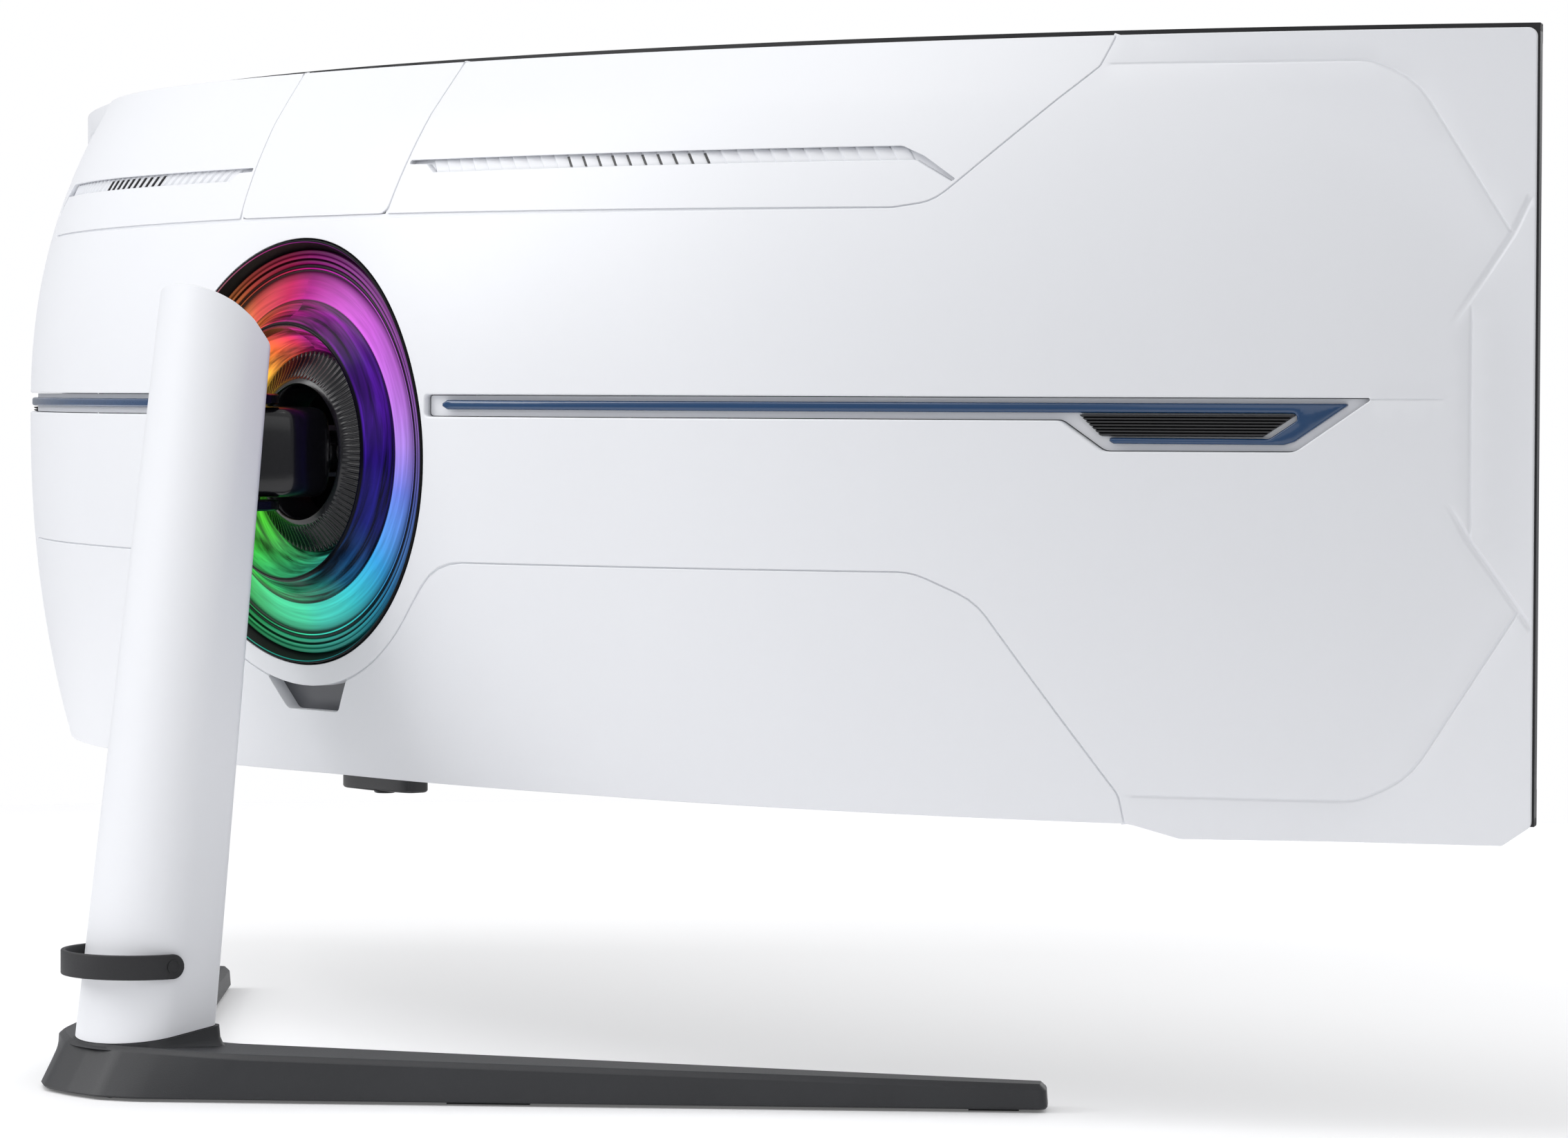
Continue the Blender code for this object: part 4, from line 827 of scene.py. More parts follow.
VENT_LOW, VENT_HIGH = 0.1212, 0.1268
VENT_START, VENT_STOP = 0.0800, 0.3300


def vent_outline(side):
    points = [(0.0620, 0.1267), (0.0620, 0.1255), (0.0735, 0.1253), (VENT_START, 0.1210), (0.3375, 0.1216),
              (0.3552, 0.1114), (0.3562, 0.1122), (0.3410, 0.1226), (VENT_STOP, 0.1276), (0.1655, 0.1269)]
    radii = [0.0003, 0.0003, 0.001, 0.0015, 0.002, 0.0003, 0.0003, 0.006, 0.005, 0.1]
    return rounded(flip(points, side), radii)


RECESS_START, RECESS_LOW, RECESS_HIGH = 0.0985, 0.0019, 0.0118
RECESS_DEEP = 0.0046
RECESS_ROUND = 0.0009
VENT_DEEP = 0.0045  # height of the wall round a vent
RING_WALL = 0.004  # and round the light ring
SEAM_FLOOR_HALF, SEAM_FLOOR_DEEP, SEAM_FLOOR_THICK = 0.0016, 0.0010, 0.0008
OUTLET_DEEP = 0.0075
PATCH_THICK = 0.0012


def recess_outline(side):
    points = [(RECESS_START, RECESS_LOW), (0.4093, RECESS_LOW), (0.4275, -0.0121), (0.5085, -0.0121),
              (0.5400, 0.0112), (0.5400, RECESS_HIGH), (RECESS_START, RECESS_HIGH)]
    return rounded(flip(points, side), [0.002, 0.006, 0.006, 0.008, 0.0005, 0.0005, 0.0015])


def rear_covers():
    holes = [ring_hole(RING_RADIUS + GAP)] + [recess_outline(side) for side, _ in SIDES]
    cover("rear_cover_shell", cover_outline(), holes, [None, RING_WALL, RECESS_DEEP, RECESS_DEEP],
          ("rear_cover",), [EDGE_ROUND, EDGE_ROUND, RECESS_ROUND, RECESS_ROUND])
    cover("port_cover_shell", port_outline(), [], [None], ("port_cover",))
    for side, word in SIDES:
        cover(f"top_cover_{word}_shell", top_side_outline(side), [vent_outline(side)], [None, VENT_DEEP],
              (f"top_cover_{word}",))
    cover("top_cover_middle_shell", top_middle_outline(), [], [None], ("top_cover_middle",))
    for side, word in SIDES:
        seam_floor(f"top_seam_{word}", flip(TOP_HALF + [(0.0, 0.0992)], side), TOP_ROUND + [0])
        seam_floor(f"cross_seam_{word}", flip([(CROSS_HIGH, COVER_TOP), (CROSS_LOW, 0.1003)], side), [0, 0])
        line = band_points(BAND_FROM, BAND_TO) + PORT_REST
        radii = [0.004] * (len(line) - len(PORT_REST)) + REST_ROUND
        seam_floor(f"port_seam_{word}", flip(line[::-1], side), radii[::-1])
    outlet = both([(0.0330, -0.1240), (0.0220, -0.1480)])
    patch("cable_outlet_floor", rounded(outlet, 0.003), OUTLET_DEEP, "black_plastic", "outlet_grey")


def seam_floor(name, line, radii):
    """The lip that one cover has under the edge of the next, seen at the bottom of the seam."""
    line = rounded(line, radii, closed=False)
    left = left_of(line)
    wide, deep, low = SEAM_FLOOR_HALF, SEAM_FLOOR_DEEP, SEAM_FLOOR_DEEP + SEAM_FLOOR_THICK
    corners = [under_face(line + left * across, drop)
               for across, drop in ((-wide, deep), (wide, deep), (wide, low), (-wide, low))]
    rows = [[corner[k] for corner in corners] for k in range(len(line))]
    return loft(name, rows, "head", "white_plastic", smooth=30)


def patch(name, outline, depth, slot, finish=None):
    """A thin curved plate that lies a given depth under the cover's face."""
    loop = turned_to(outline, 1)
    n = len(loop)
    flat, _, triangles, _, _, _ = delaunay_2d_cdt([Vector(p) for p in loop],
                                                  [(i, (i + 1) % n) for i in range(n)], [], 1, 1e-7)
    flat = np.array([tuple(p) for p in flat])
    count = len(flat)
    points = np.concatenate([under_face(flat, level) for level in (depth, depth + PATCH_THICK)])
    triangles = [tuple(t) for t in triangles]
    faces = [tuple(reversed(t)) for t in triangles] + [tuple(v + count for v in t) for t in triangles]
    faces += [(i, (i + 1) % n, (i + 1) % n + count, i + count) for i in range(n)]
    return piece(name, points, outward(points, faces), "head", slot, finish=finish, smooth=30)


def accent_strip(side, word):
    """The blue bar, with a tapered inner tip, that folds back under the side vent."""
    low, high, tip = 0.0050, 0.0096, 0.1080
    outline = [(tip, 0.0064), (0.1108, low), (0.5135, low), (0.4975, -0.0064), (0.4300, -0.0062),
               (0.4296, -0.0078), (0.4315, -0.0090), (0.5035, -0.0092), (0.5080, -0.0078), (0.5318, high),
               (0.1108, high), (tip, 0.0082)]
    radii = [0.0006, 0.0008, 0.002, 0.004, 0.0008, 0.0008, 0.0008, 0.003, 0.004, 0.0006, 0.0008, 0.0006]
    loop = turned_to(rounded(flip(outline, side), radii), 1)
    # each layer: how far it is pulled in, and its depth under the face
    layers = [(0.0, RECESS_DEEP - 0.0002), (0.0, 0.0024), (0.0002, 0.0017), (0.0006, 0.0012),
              (0.0011, 0.0010)]
    stacked(f"accent_strip_{word}_bar", loop, layers, "blue_trim", (f"accent_strip_{word}",))


def stacked(name, loop, layers, slot, replaces):
    """A raised shape on the cover, built from its outline in layers and closed at both ends."""
    n = len(loop)
    points = [under_face(inset(loop, amount), depth) for amount, depth in layers]
    faces = between(len(layers), n)
    total = len(layers) * n
    for k, turn in ((0, -1), (len(layers) - 1, 1)):
        amount, depth = layers[k]
        flat, _, triangles, origins, _, _ = delaunay_2d_cdt(
            [Vector(p) for p in inset(loop, amount)], [(i, (i + 1) % n) for i in range(n)], [], 1, 1e-8)
        index = []
        for place, sources in zip(flat, origins):
            if sources:
                index.append(k * n + sources[0])
            else:
                points.append(under_face([tuple(place)], depth))
                index.append(total)
                total += 1
        faces += [tuple(index[v] for v in t)[::turn] for t in triangles]
    points = np.concatenate(points)
    return piece(name, points, outward(points, faces), "head", slot, replaces, smooth=50)


GRILLE_TOP, GRILLE_LOW = 0.0043, -0.0056
GRILLE_START, GRILLE_STOP = (0.4172, 0.4265), (0.5085, 0.4945)  # at the top and at the bottom
GRILLE_STATIONS = 24
SLATS = 7


def grille_row(side, z, drop):
    share = (GRILLE_TOP - z) / (GRILLE_TOP - GRILLE_LOW)
    start, stop = (at_top + (at_low - at_top) * share for at_top, at_low in (GRILLE_START, GRILLE_STOP))
    s = np.linspace(start, stop, GRILLE_STATIONS)
    return on_panel(side * s, bulge(s, z) - drop, np.full(GRILLE_STATIONS, z))


def side_grille(side, word):
    """Black slats, one above the other, in the pocket under the blue bar."""
    points = []
    for k in range(SLATS):
        upper = GRILLE_TOP + (GRILLE_LOW - GRILLE_TOP) * k / SLATS
        lower = GRILLE_TOP + (GRILLE_LOW - GRILLE_TOP) * (k + 1) / SLATS
        section = ((upper, 0.0030), (upper - 0.0002, 0.0008), (lower + 0.0005, 0.0012), (lower, 0.0030))
        points += [grille_row(side, z, drop) for z, drop in section]
    points += [grille_row(side, z, 0.0042) for z in (GRILLE_LOW, GRILLE_TOP)]
    rows, size = len(points), GRILLE_STATIONS
    faces = []
    for r in range(rows):
        beyond = (r + 1) % rows
        faces += [(r * size + i, r * size + i + 1, beyond * size + i + 1, beyond * size + i)
                  for i in range(size - 1)]
    for end in (0, size - 1):
        ring = [r * size + end for r in range(rows)]
        faces.append(tuple(ring if end else reversed(ring)))
    points = np.concatenate(points)
    piece(f"side_grille_{word}_slats", points, outward(points, faces), "head", "black_plastic",
          (f"side_grille_{word}",), smooth=30)


RIB_PITCH = 0.0083
RIB_SLANT = (VENT_HIGH - VENT_LOW) * 1.25  # each rib leans outwards as it goes down
RIB_OVER = 0.0022  # the ribs go on above the vent's upper edge
RIB_TALL = VENT_HIGH - VENT_LOW + 0.0040
# each rib's section: share of the pitch, and depth
RIB_SECTION = ((0.0, 0.0032), (0.18, 0.0021), (0.90, 0.0029), (1.0, 0.0032))
RIB_LEVELS = 4
OPEN_FROM, OPEN_TO = 0.1535, 0.2375  # between these the vent is open
BACKING_DEEP = 0.0034


def vent_backing(side):
    points = [(0.0590, 0.1290), (0.0590, 0.1235), (0.0740, 0.1190), (0.3360, 0.1190), (0.3560, 0.1080),
              (0.3590, 0.1120), (0.3430, 0.1250), (0.3320, 0.1300)]
    return rounded(flip(points, side), 0.0005)


def vent_floor(side, word):
    """The slanted ribs at the bottom of a top vent, with open slots between some of them."""
    patch(f"vent_floor_{word}", vent_backing(side), BACKING_DEEP, "white_plastic")
    first = VENT_START - RIB_SLANT
    ribs = int((VENT_STOP + 0.008 - first) / RIB_PITCH)
    points = []
    for k in range(ribs):
        for along, drop in RIB_SECTION:
            for j in range(RIB_LEVELS):
                down = j / (RIB_LEVELS - 1)
                s = first + (k + along) * RIB_PITCH + RIB_SLANT * down
                points.append(under_face([(side * s, VENT_HIGH + RIB_OVER - down * RIB_TALL)], drop)[0])
    faces = []
    for c in range(ribs * len(RIB_SECTION) - 1):
        a, b = c * RIB_LEVELS, (c + 1) * RIB_LEVELS
        faces += [(a + j, b + j, b + j + 1, a + j + 1) for j in range(RIB_LEVELS - 1)]
    made = piece(f"vent_ribs_{word}", points, faces if side > 0 else [f[::-1] for f in faces], "head",
                 "white_plastic", smooth=25)
    solid = made.modifiers.new("thick", "SOLIDIFY")
    solid.thickness = 0.0008
    solid.offset = -1
    vent_slot_shades(side, word, [first + k * RIB_PITCH for k in range(ribs)])


def vent_slot_shades(side, word, starts):
    """The open slots, drawn as dark slanted boxes: painted shade for the dark inside seen through them."""
    points, faces = [], []
    for start in starts:
        if not OPEN_FROM < start < OPEN_TO:
            continue
        base = len(points)
        for down in (0.10, 0.98):
            below = down * (VENT_HIGH - VENT_LOW)
            for wide in (-0.0001, 0.0013):
                s = start + RIB_SLANT * (below + RIB_OVER) / RIB_TALL + wide
                points += [under_face([(side * s, VENT_HIGH - below)], drop)[0] for drop in (0.0022, 0.0036)]
        box = [(0, 1, 3, 2), (4, 6, 7, 5), (0, 2, 6, 4), (1, 5, 7, 3), (0, 4, 5, 1), (2, 3, 7, 6)]
        faces += [tuple(base + v for v in face) for face in box]
    # black boxes as painted shade inside the open slots
    piece(f"vent_slot_shades_{word}", points, outward(points, faces), "head", "black_plastic", smooth=25)


def cover_trim():
    for side, word in SIDES:
        patch(f"strip_channel_{word}", recess_outline(side), RECESS_DEEP - 0.0003, "white_plastic")
        accent_strip(side, word)
        side_grille(side, word)
        vent_floor(side, word)


# ---------------------------------------------------------------- the light ring and its hub
def smooth_profile(points, steps=6):
    """A Catmull-Rom curve through (radius, depth) points."""
    p = np.array(points, float)
    p = np.vstack([2 * p[0] - p[1], p, 2 * p[-1] - p[-2]])
    out = []
    for i in range(1, len(p) - 2):
        for k in range(steps):
            u = k / steps
            out.append(0.5 * ((2 * p[i]) + (-p[i - 1] + p[i + 1]) * u
                              + (2 * p[i - 1] - 5 * p[i] + 4 * p[i + 1] - p[i + 2]) * u * u
                              + (-p[i - 1] + 3 * p[i] - 3 * p[i + 1] + p[i + 2]) * u ** 3))
    out.append(p[-2])
    return [tuple(q) for q in out]


RIM_DEPTH = 0.0932
RIM_PROUD = 0.0006  # the rim stands this much out of the cover
LENS_ROOT = 0.0748  # inside this radius the lens is one plane ring


def rim_sag(angle, radius, depth):
    """The rim follows the curved cover, so it is set back at its top and bottom."""
    x, z = RING_RADIUS * np.cos(angle), RING_Z + RING_RADIUS * np.sin(angle)
    share = np.clip((radius - LENS_ROOT) / (RING_RADIUS - LENS_ROOT), 0, 1)
    return (rear_face(x, z) + RIM_PROUD - RIM_DEPTH) * share


def light_ring():
    """The black rim, and the lens: four terraces, a bowl and a raised collar round the middle."""
    outer, top = RING_RADIUS, RIM_DEPTH
    rim = [(outer, top - 0.0008), (outer, 0.0700), (0.1030, 0.0700), (0.1006, 0.0850), (0.1012, top - 0.0058),
           (0.1038, top - 0.0020), (0.1043, top - 0.0008), (0.1047, top - 0.0002), (0.1052, top),
           (outer - 0.0003, top)]
    lathe("ring_rim_edge", rim, "head", "black_plastic", ("ring_rim",), "ring_rim", wobble=rim_sag)
    terrace = [(0.1008, 0.0855)]
    r, t = 0.1004, 0.0880
    for _ in range(4):
        terrace += [(r, t), (r - 0.0010, t + 0.0003), (r - 0.0016, t + 0.0001), (r - 0.0021, t - 0.0011)]
        r, t = r - 0.0023, t - 0.0006
    bowl = smooth_profile([(0.0912, 0.0862), (0.0902, 0.0850), (0.0880, 0.0847), (0.0840, 0.0849),
                           (0.0790, 0.0853), (0.0756, 0.0856)], 6)
    collar = smooth_profile([(0.0750, 0.0856), (0.0735, 0.0862), (0.0705, 0.0885), (0.0676, 0.0926),
                             (0.0652, 0.0960), (0.0642, 0.0971), (0.0634, 0.0974), (0.0624, 0.0967),
                             (0.0600, 0.0905), (0.0555, 0.0822), (0.0505, 0.0772)], 7)
    back = [(0.0502, 0.0752), (0.0580, 0.0790), (0.0630, 0.0890), (0.0660, 0.0880), (0.0730, 0.0820),
            (0.0900, 0.0800), (0.1000, 0.0820)]
    lathe("light_lens_face", terrace + bowl + collar + back, "head", "ring_lens", ("light_lens",),
          smooth=50, wobble=rim_sag)


HUB_RIBS = 84
RIB_HIGH = 0.00055
HUB_FACE = 0.0785  # only what lies behind this depth is ribbed
RIBS_FROM, RIBS_TO = 0.0376, 0.0500  # radii


def hub_ridge(angle, radius, depth):
    height = np.clip(np.cos(angle * HUB_RIBS) * 1.8, -1, 1) * RIB_HIGH
    band = np.clip((radius - RIBS_FROM) / 0.001, 0, 1) * np.clip((RIBS_TO - radius) / 0.0015, 0, 1)
    return height * band * (depth > HUB_FACE).astype(float)


def hub():
    """A black collar with fine radial ribs round its mouth."""
    profile = [(0.0506, 0.0768), (0.0504, 0.0785)]
    profile += [(0.0500 - 0.0132 * k / 10, 0.0795 + 0.0085 * (k / 10) ** 1.3) for k in range(11)]
    profile += [(0.0364, 0.0884), (0.0358, 0.0886), (0.0352, 0.0890), (0.0342, 0.0892), (0.0336, 0.0886),
                (0.0333, 0.0850), (0.0333, 0.0640), (0.0506, 0.0640)]
    lathe("hub_collar_ribbed", profile, "head", "black_plastic", ("hub_collar",), "hub_black",
          sides=HUB_RIBS * 8, smooth=50, wobble=hub_ridge)


# ---------------------------------------------------------------- neck, column and foot
def superellipse(wide, high, power=4.0, steps=48):
    out = []
    for k in range(steps):
        angle = 2 * math.pi * k / steps
        cos, sin = math.cos(angle), math.sin(angle)
        out.append((math.copysign(abs(cos) ** (2 / power), cos) * wide,
                    math.copysign(abs(sin) ** (2 / power), sin) * high))
    return out


EAR_THICK, EAR_HALF, EAR_DEEP = 0.0055, 0.0150, 0.0140  # the two ears that hold the swivel post
POST_DEPTH = 0.118


def neck():
    """A smooth block that runs back from the tilt hinge into the swivel knuckle, with a flange behind it."""
    # (depth, half width, half height)
    stations = [(0.0600, 0.0180, 0.0105), (0.0815, 0.0180, 0.0105), (0.0835, 0.0190, 0.0200),
                (0.0848, 0.0200, 0.0218), (0.0870, 0.0204, 0.0224), (0.0980, 0.0205, 0.0225),
                (0.1060, 0.0204, 0.0225), (0.1090, 0.0190, 0.0222), (0.1120, 0.0150, 0.0222),
                (0.1240, 0.0120, 0.0222), (0.1275, 0.0085, 0.0220), (0.1285, 0.0050, 0.0215)]
    rows = []
    for t, wide, high in stations:
        power = 5.0 if t > 0.083 else 3.0
        rows.append([world(x, t, RING_Z + z) for x, z in superellipse(wide, high, power)])
    loft("neck_block", rows, "neck", "cast_alloy", ("neck_casting",), "hub_black", smooth=50)
    low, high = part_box("swivel_bracket")
    angles = [math.pi * (1 + k / 24) for k in range(25)]
    plan = [(EAR_HALF * math.cos(a), PANEL_Y + POST_DEPTH + EAR_DEEP * math.sin(a)) for a in angles]
    plan += [(EAR_HALF, high.y), (-EAR_HALF, high.y)]
    for number, (bottom, top) in enumerate(((low.z, low.z + EAR_THICK), (high.z - EAR_THICK, high.z)), 1):
        rows = []
        for z, pull in ((bottom, 0.0012), (bottom + 0.0008, 0.0), (top - 0.0008, 0.0), (top, 0.0012)):
            shrink = 1 - pull / EAR_HALF
            rows.append([(x * shrink, y + (pull if y < high.y - 0.001 else 0.0), z) for x, y in plan])
        loft(f"swivel_ear_{number}", rows, "carriage", "cast_alloy", finish="hub_black", smooth=30)
    tall = 0.0290
    web = [[world(x, t, RING_Z + z) for x, z in ((-EAR_HALF, -tall), (EAR_HALF, -tall), (EAR_HALF, tall),
                                                 (-EAR_HALF, tall))] for t in (0.1312, 0.1350)]
    made = loft("swivel_web", web, "carriage", "cast_alloy", ("swivel_bracket",), "hub_black")
    bevel = made.modifiers.new("edge", "BEVEL")
    bevel.width = 0.0010
    bevel.segments = 3
    bevel.limit_method = "ANGLE"
    bevel.angle_limit = math.radians(30)
    bevel.harden_normals = True


COLUMN_HALF = 0.0335
COLUMN_ROUND = 0.025
COLUMN_CORNER = 0.0040
COLUMN_FRONT_SLOPE, COLUMN_REAR_SLOPE = 0.0992, 0.139
COLUMN_FOOT_Z, COLUMN_FOOT_FRONT, COLUMN_FOOT_REAR = -0.2946, 0.1607, 0.2120
COLUMN_REAR_Z = -0.3022
COLUMN_SHELL = 0.0025
COLUMN_LEVELS, LIP_LEVELS = 60, 40
CROWN_ROUND = 0.0016
SLOT_HALF, SLOT_START = 0.0190, 0.12935  # the front slot, and its height above the foot
LIP_EDGE = 0.0045  # the front ends this far inside the column's sides


def column_front(z):
    return COLUMN_FOOT_FRONT - COLUMN_FRONT_SLOPE * (z - COLUMN_FOOT_Z)


def column_rear(z):
    return COLUMN_FOOT_REAR - COLUMN_REAR_SLOPE * (z - COLUMN_FOOT_Z)


def column_foot(t):
    """Height of the column's slanted lower edge at a depth t."""
    share = (t - COLUMN_FOOT_FRONT) / (COLUMN_FOOT_REAR - COLUMN_FOOT_FRONT)
    return COLUMN_FOOT_Z + (COLUMN_REAR_Z - COLUMN_FOOT_Z) * share


def column_ring(z, pull=0.0, steps=40):
    """A U-shaped slice: round at the rear, with small round corners at the front, which is left open."""
    half = COLUMN_HALF - pull
    front = column_front(z) + pull
    rear = column_rear(z) - pull
    corner = COLUMN_CORNER
    centre = max(column_rear(z) - COLUMN_ROUND, front + corner + 0.0035)
    points = []
    for k in range(7):
        angle = math.radians(-90 + 90 * k / 6)
        points.append((half - corner + corner * math.cos(angle), front + corner + corner * math.sin(angle)))
    for k in range(steps + 1):
        angle = math.pi * k / steps
        points.append((half * math.cos(angle), centre + (rear - centre) * math.sin(angle)))
    for k in range(7):
        angle = math.radians(180 + 90 * k / 6)
        points.append((corner - half + corner * math.cos(angle), front + corner + corner * math.sin(angle)))
    return points


CAP_CURVE = [(0.1185, -0.0050), (0.1230, 0.0150), (0.1255, 0.0260), (0.1300, 0.0375), (0.1370, 0.0470),
             (0.1480, 0.0570), (0.1560, 0.0630), (0.1640, 0.0680)]
CAP_END_SLOPE = 0.3


def cap_height(t):
    """Height of the column's slanted, rounded top at a depth t."""
    curve = np.array(CAP_CURVE)
    end, high = CAP_CURVE[-1]
    return float(np.interp(t, curve[:, 0], curve[:, 1], right=high + (t - end) * CAP_END_SLOPE))


def column_skin(pull, cap_drop):
    """Vertical lines round the column, each from the slanted foot up to the slanted top."""
    lines = []
    for index in range(len(column_ring(COLUMN_FOOT_Z, pull))):
        low, high = COLUMN_FOOT_Z, 0.05
        for _ in range(30):
            low = column_foot(column_ring(low, pull)[index][1])
        for _ in range(40):
            high = 0.5 * high + 0.5 * (cap_height(column_ring(high, pull)[index][1]) - cap_drop)
        line = []
        for k in range(COLUMN_LEVELS + 1):
            z = low + (high - low) * k / COLUMN_LEVELS
            line.append((*column_ring(z, pull)[index], z))
        lines.append(line)
    return np.array(lines)


def column():
    """The column's white cover: a tall shell, open at the front where the carriage slides."""
    outer = column_skin(0.0, 0.0)
    inner = column_skin(COLUMN_SHELL, COLUMN_SHELL)
    count, size = outer.shape[:2]
    levels = size - 1
    crown = outer[:, -1].copy()
    lid = crown + (crown.mean(0) - crown) * CROWN_ROUND / COLUMN_HALF
    outer[:, -1, 2] -= CROWN_ROUND * 0.55
    outer[:, -2, 2] = (outer[:, -1, 2] + outer[:, -3, 2]) / 2
    points = np.array([world(*p) for p in np.concatenate([outer.reshape(-1, 3), inner.reshape(-1, 3), lid])])
    within = count * size
    lid_start = 2 * within
    faces = []
    for i in range(count - 1):
        for k in range(levels):
            a = i * size + k
            faces.append((a, a + size, a + size + 1, a + 1))
            b = a + within
            faces.append((b, b + 1, b + size + 1, b + size))
    # the two upright edges at the front
    for i in (0, count - 1):
        for k in range(levels):
            a = i * size + k
            b = a + within
            faces.append((a, a + 1, b + 1, b) if i == 0 else (a, b, b + 1, a + 1))
    # the lower edge, and the soft edge of the top
    for i in range(count - 1):
        a = i * size
        faces.append((a, a + within, a + within + size, a + size))
    for i in range(count - 1):
        a = i * size + levels
        faces.append((a, a + size, lid_start + i + 1, lid_start + i))
    # the cap from above and from below
    faces.append(tuple(lid_start + i for i in range(count)))
    faces.append(tuple(within + i * size + levels for i in reversed(range(count))))
    piece("column_shell", points, outward(points, faces), "stand", "white_plastic", ("column_cover",),
          smooth=35)


def column_lip():
    """The column's flat front: a frame round the slot, closed below it."""
    top = cap_height(column_front(0.02))
    half = COLUMN_HALF - LIP_EDGE
    low = COLUMN_FOOT_Z
    for name, x0, x1, high in (("right", -half, -SLOT_HALF, top), ("left", SLOT_HALF, half, top),
                               ("low", -SLOT_HALF, SLOT_HALF, low + SLOT_START)):
        points = []
        for z in np.linspace(low, high, LIP_LEVELS):
            for x, pull in ((x0, 0.0), (x1, 0.0), (x1, COLUMN_SHELL), (x0, COLUMN_SHELL)):
                points.append(world(x, column_front(z) + pull, z))
        faces = between(LIP_LEVELS, 4)
        faces += [(0, 1, 2, 3), tuple((LIP_LEVELS - 1) * 4 + i for i in (3, 2, 1, 0))]
        points = np.array(points)
        piece(f"column_front_{name}", points, outward(points, faces), "stand", "white_plastic")


STRAP_CENTRE, STRAP_REACH, STRAP_THICK = 0.187, 0.0355, 0.0026  # about the column, in depth
STRAP_HALF = 0.0060  # half its height, and the radius of its round ends
STRAP_ROUND = 0.0007
STUD_OFFSET = 0.0020
STUD_PROFILE = ((0.0, 0.0036), (0.0003, 0.0036), (0.0004, 0.0034), (0.0004, 0.0030), (0.0001, 0.0028))


def strap_section(half):
    """A flat bar's outline, (out from the column, up), with round corners."""
    corner = min(STRAP_ROUND, half * 0.45)
    out, up = STRAP_THICK / 2 - corner, half - corner
    section = []
    for cx, cz, first in ((out, up, 0), (-out, up, 90), (-out, -up, 180), (out, -up, 270)):
        for k in range(4):
            angle = math.radians(first + 30 * k)
            section.append((cx + corner * math.cos(angle), cz + corner * math.sin(angle)))
    return section


def strap():
    """The rubber cable band round the column's rear, with round ends and a button on each side."""
    low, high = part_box("cable_strap")
    middle_z = (low.z + high.z) / 2 - PANEL_Z
    line_x = COLUMN_HALF + GAP + STRAP_THICK / 2
    line_y = STRAP_REACH - STRAP_THICK / 2
    path = [(line_x, STRAP_CENTRE - 0.0040 + 0.0005 * k) for k in range(8)]
    for k in range(1, 140):
        angle = math.pi * k / 140
        path.append((line_x * math.cos(angle), STRAP_CENTRE + line_y * math.sin(angle)))
    path += [(-x, y) for x, y in reversed(path[:8])]
    path = np.array(path)
    outwards = -left_of(path)
    run = np.concatenate([[0.0], np.cumsum(np.hypot(*np.diff(path, axis=0).T))])
    rows = []
    for p, n, gone in zip(path, outwards, run):
        share = min(1.0, (min(gone, run[-1] - gone) + 0.0002) / STRAP_HALF)
        section = strap_section(STRAP_HALF * math.sqrt(max(0.0, 1 - (1 - share) ** 2)))
        rows.append([world(p[0] + n[0] * u, p[1] + n[1] * u, middle_z + v) for u, v in section])
    loft("cable_band", rows, "stand", "rubber", ("cable_strap",), smooth=40)
    for side, word in SIDES:
        rows = []
        for rise, radius in STUD_PROFILE:
            x = side * (line_x + STRAP_THICK / 2 + rise)
            rows.append([world(x, STRAP_CENTRE + STUD_OFFSET + radius * math.cos(a),
                               middle_z + radius * math.sin(a)) for a in np.arange(32) * math.pi / 16])
        loft(f"band_button_{word}", rows, "stand", "rubber", smooth=30)


LEG_CHAMFER = 0.0028
LEG_TIP, LEG_TIP_WIDE = (0.350, -0.094), 0.022
LEG_HEEL = (0.040, 0.2150)
TIP_HIGH, HEEL_HIGH = 0.0135, 0.0245  # height of the legs at their tips and at the column
HEEL_HIGH_AT = 0.2100
HEEL_LEAN, LEAN_FROM, LEAN_OVER = 0.0115, 0.185, 0.03  # the heel's rear face leans forwards
SOLE = 0.0015  # the foot starts this high, on its pads


def foot_top(y):
    return TIP_HIGH + (HEEL_HIGH - TIP_HIGH) * (y - LEG_TIP[1]) / (HEEL_HIGH_AT - LEG_TIP[1])


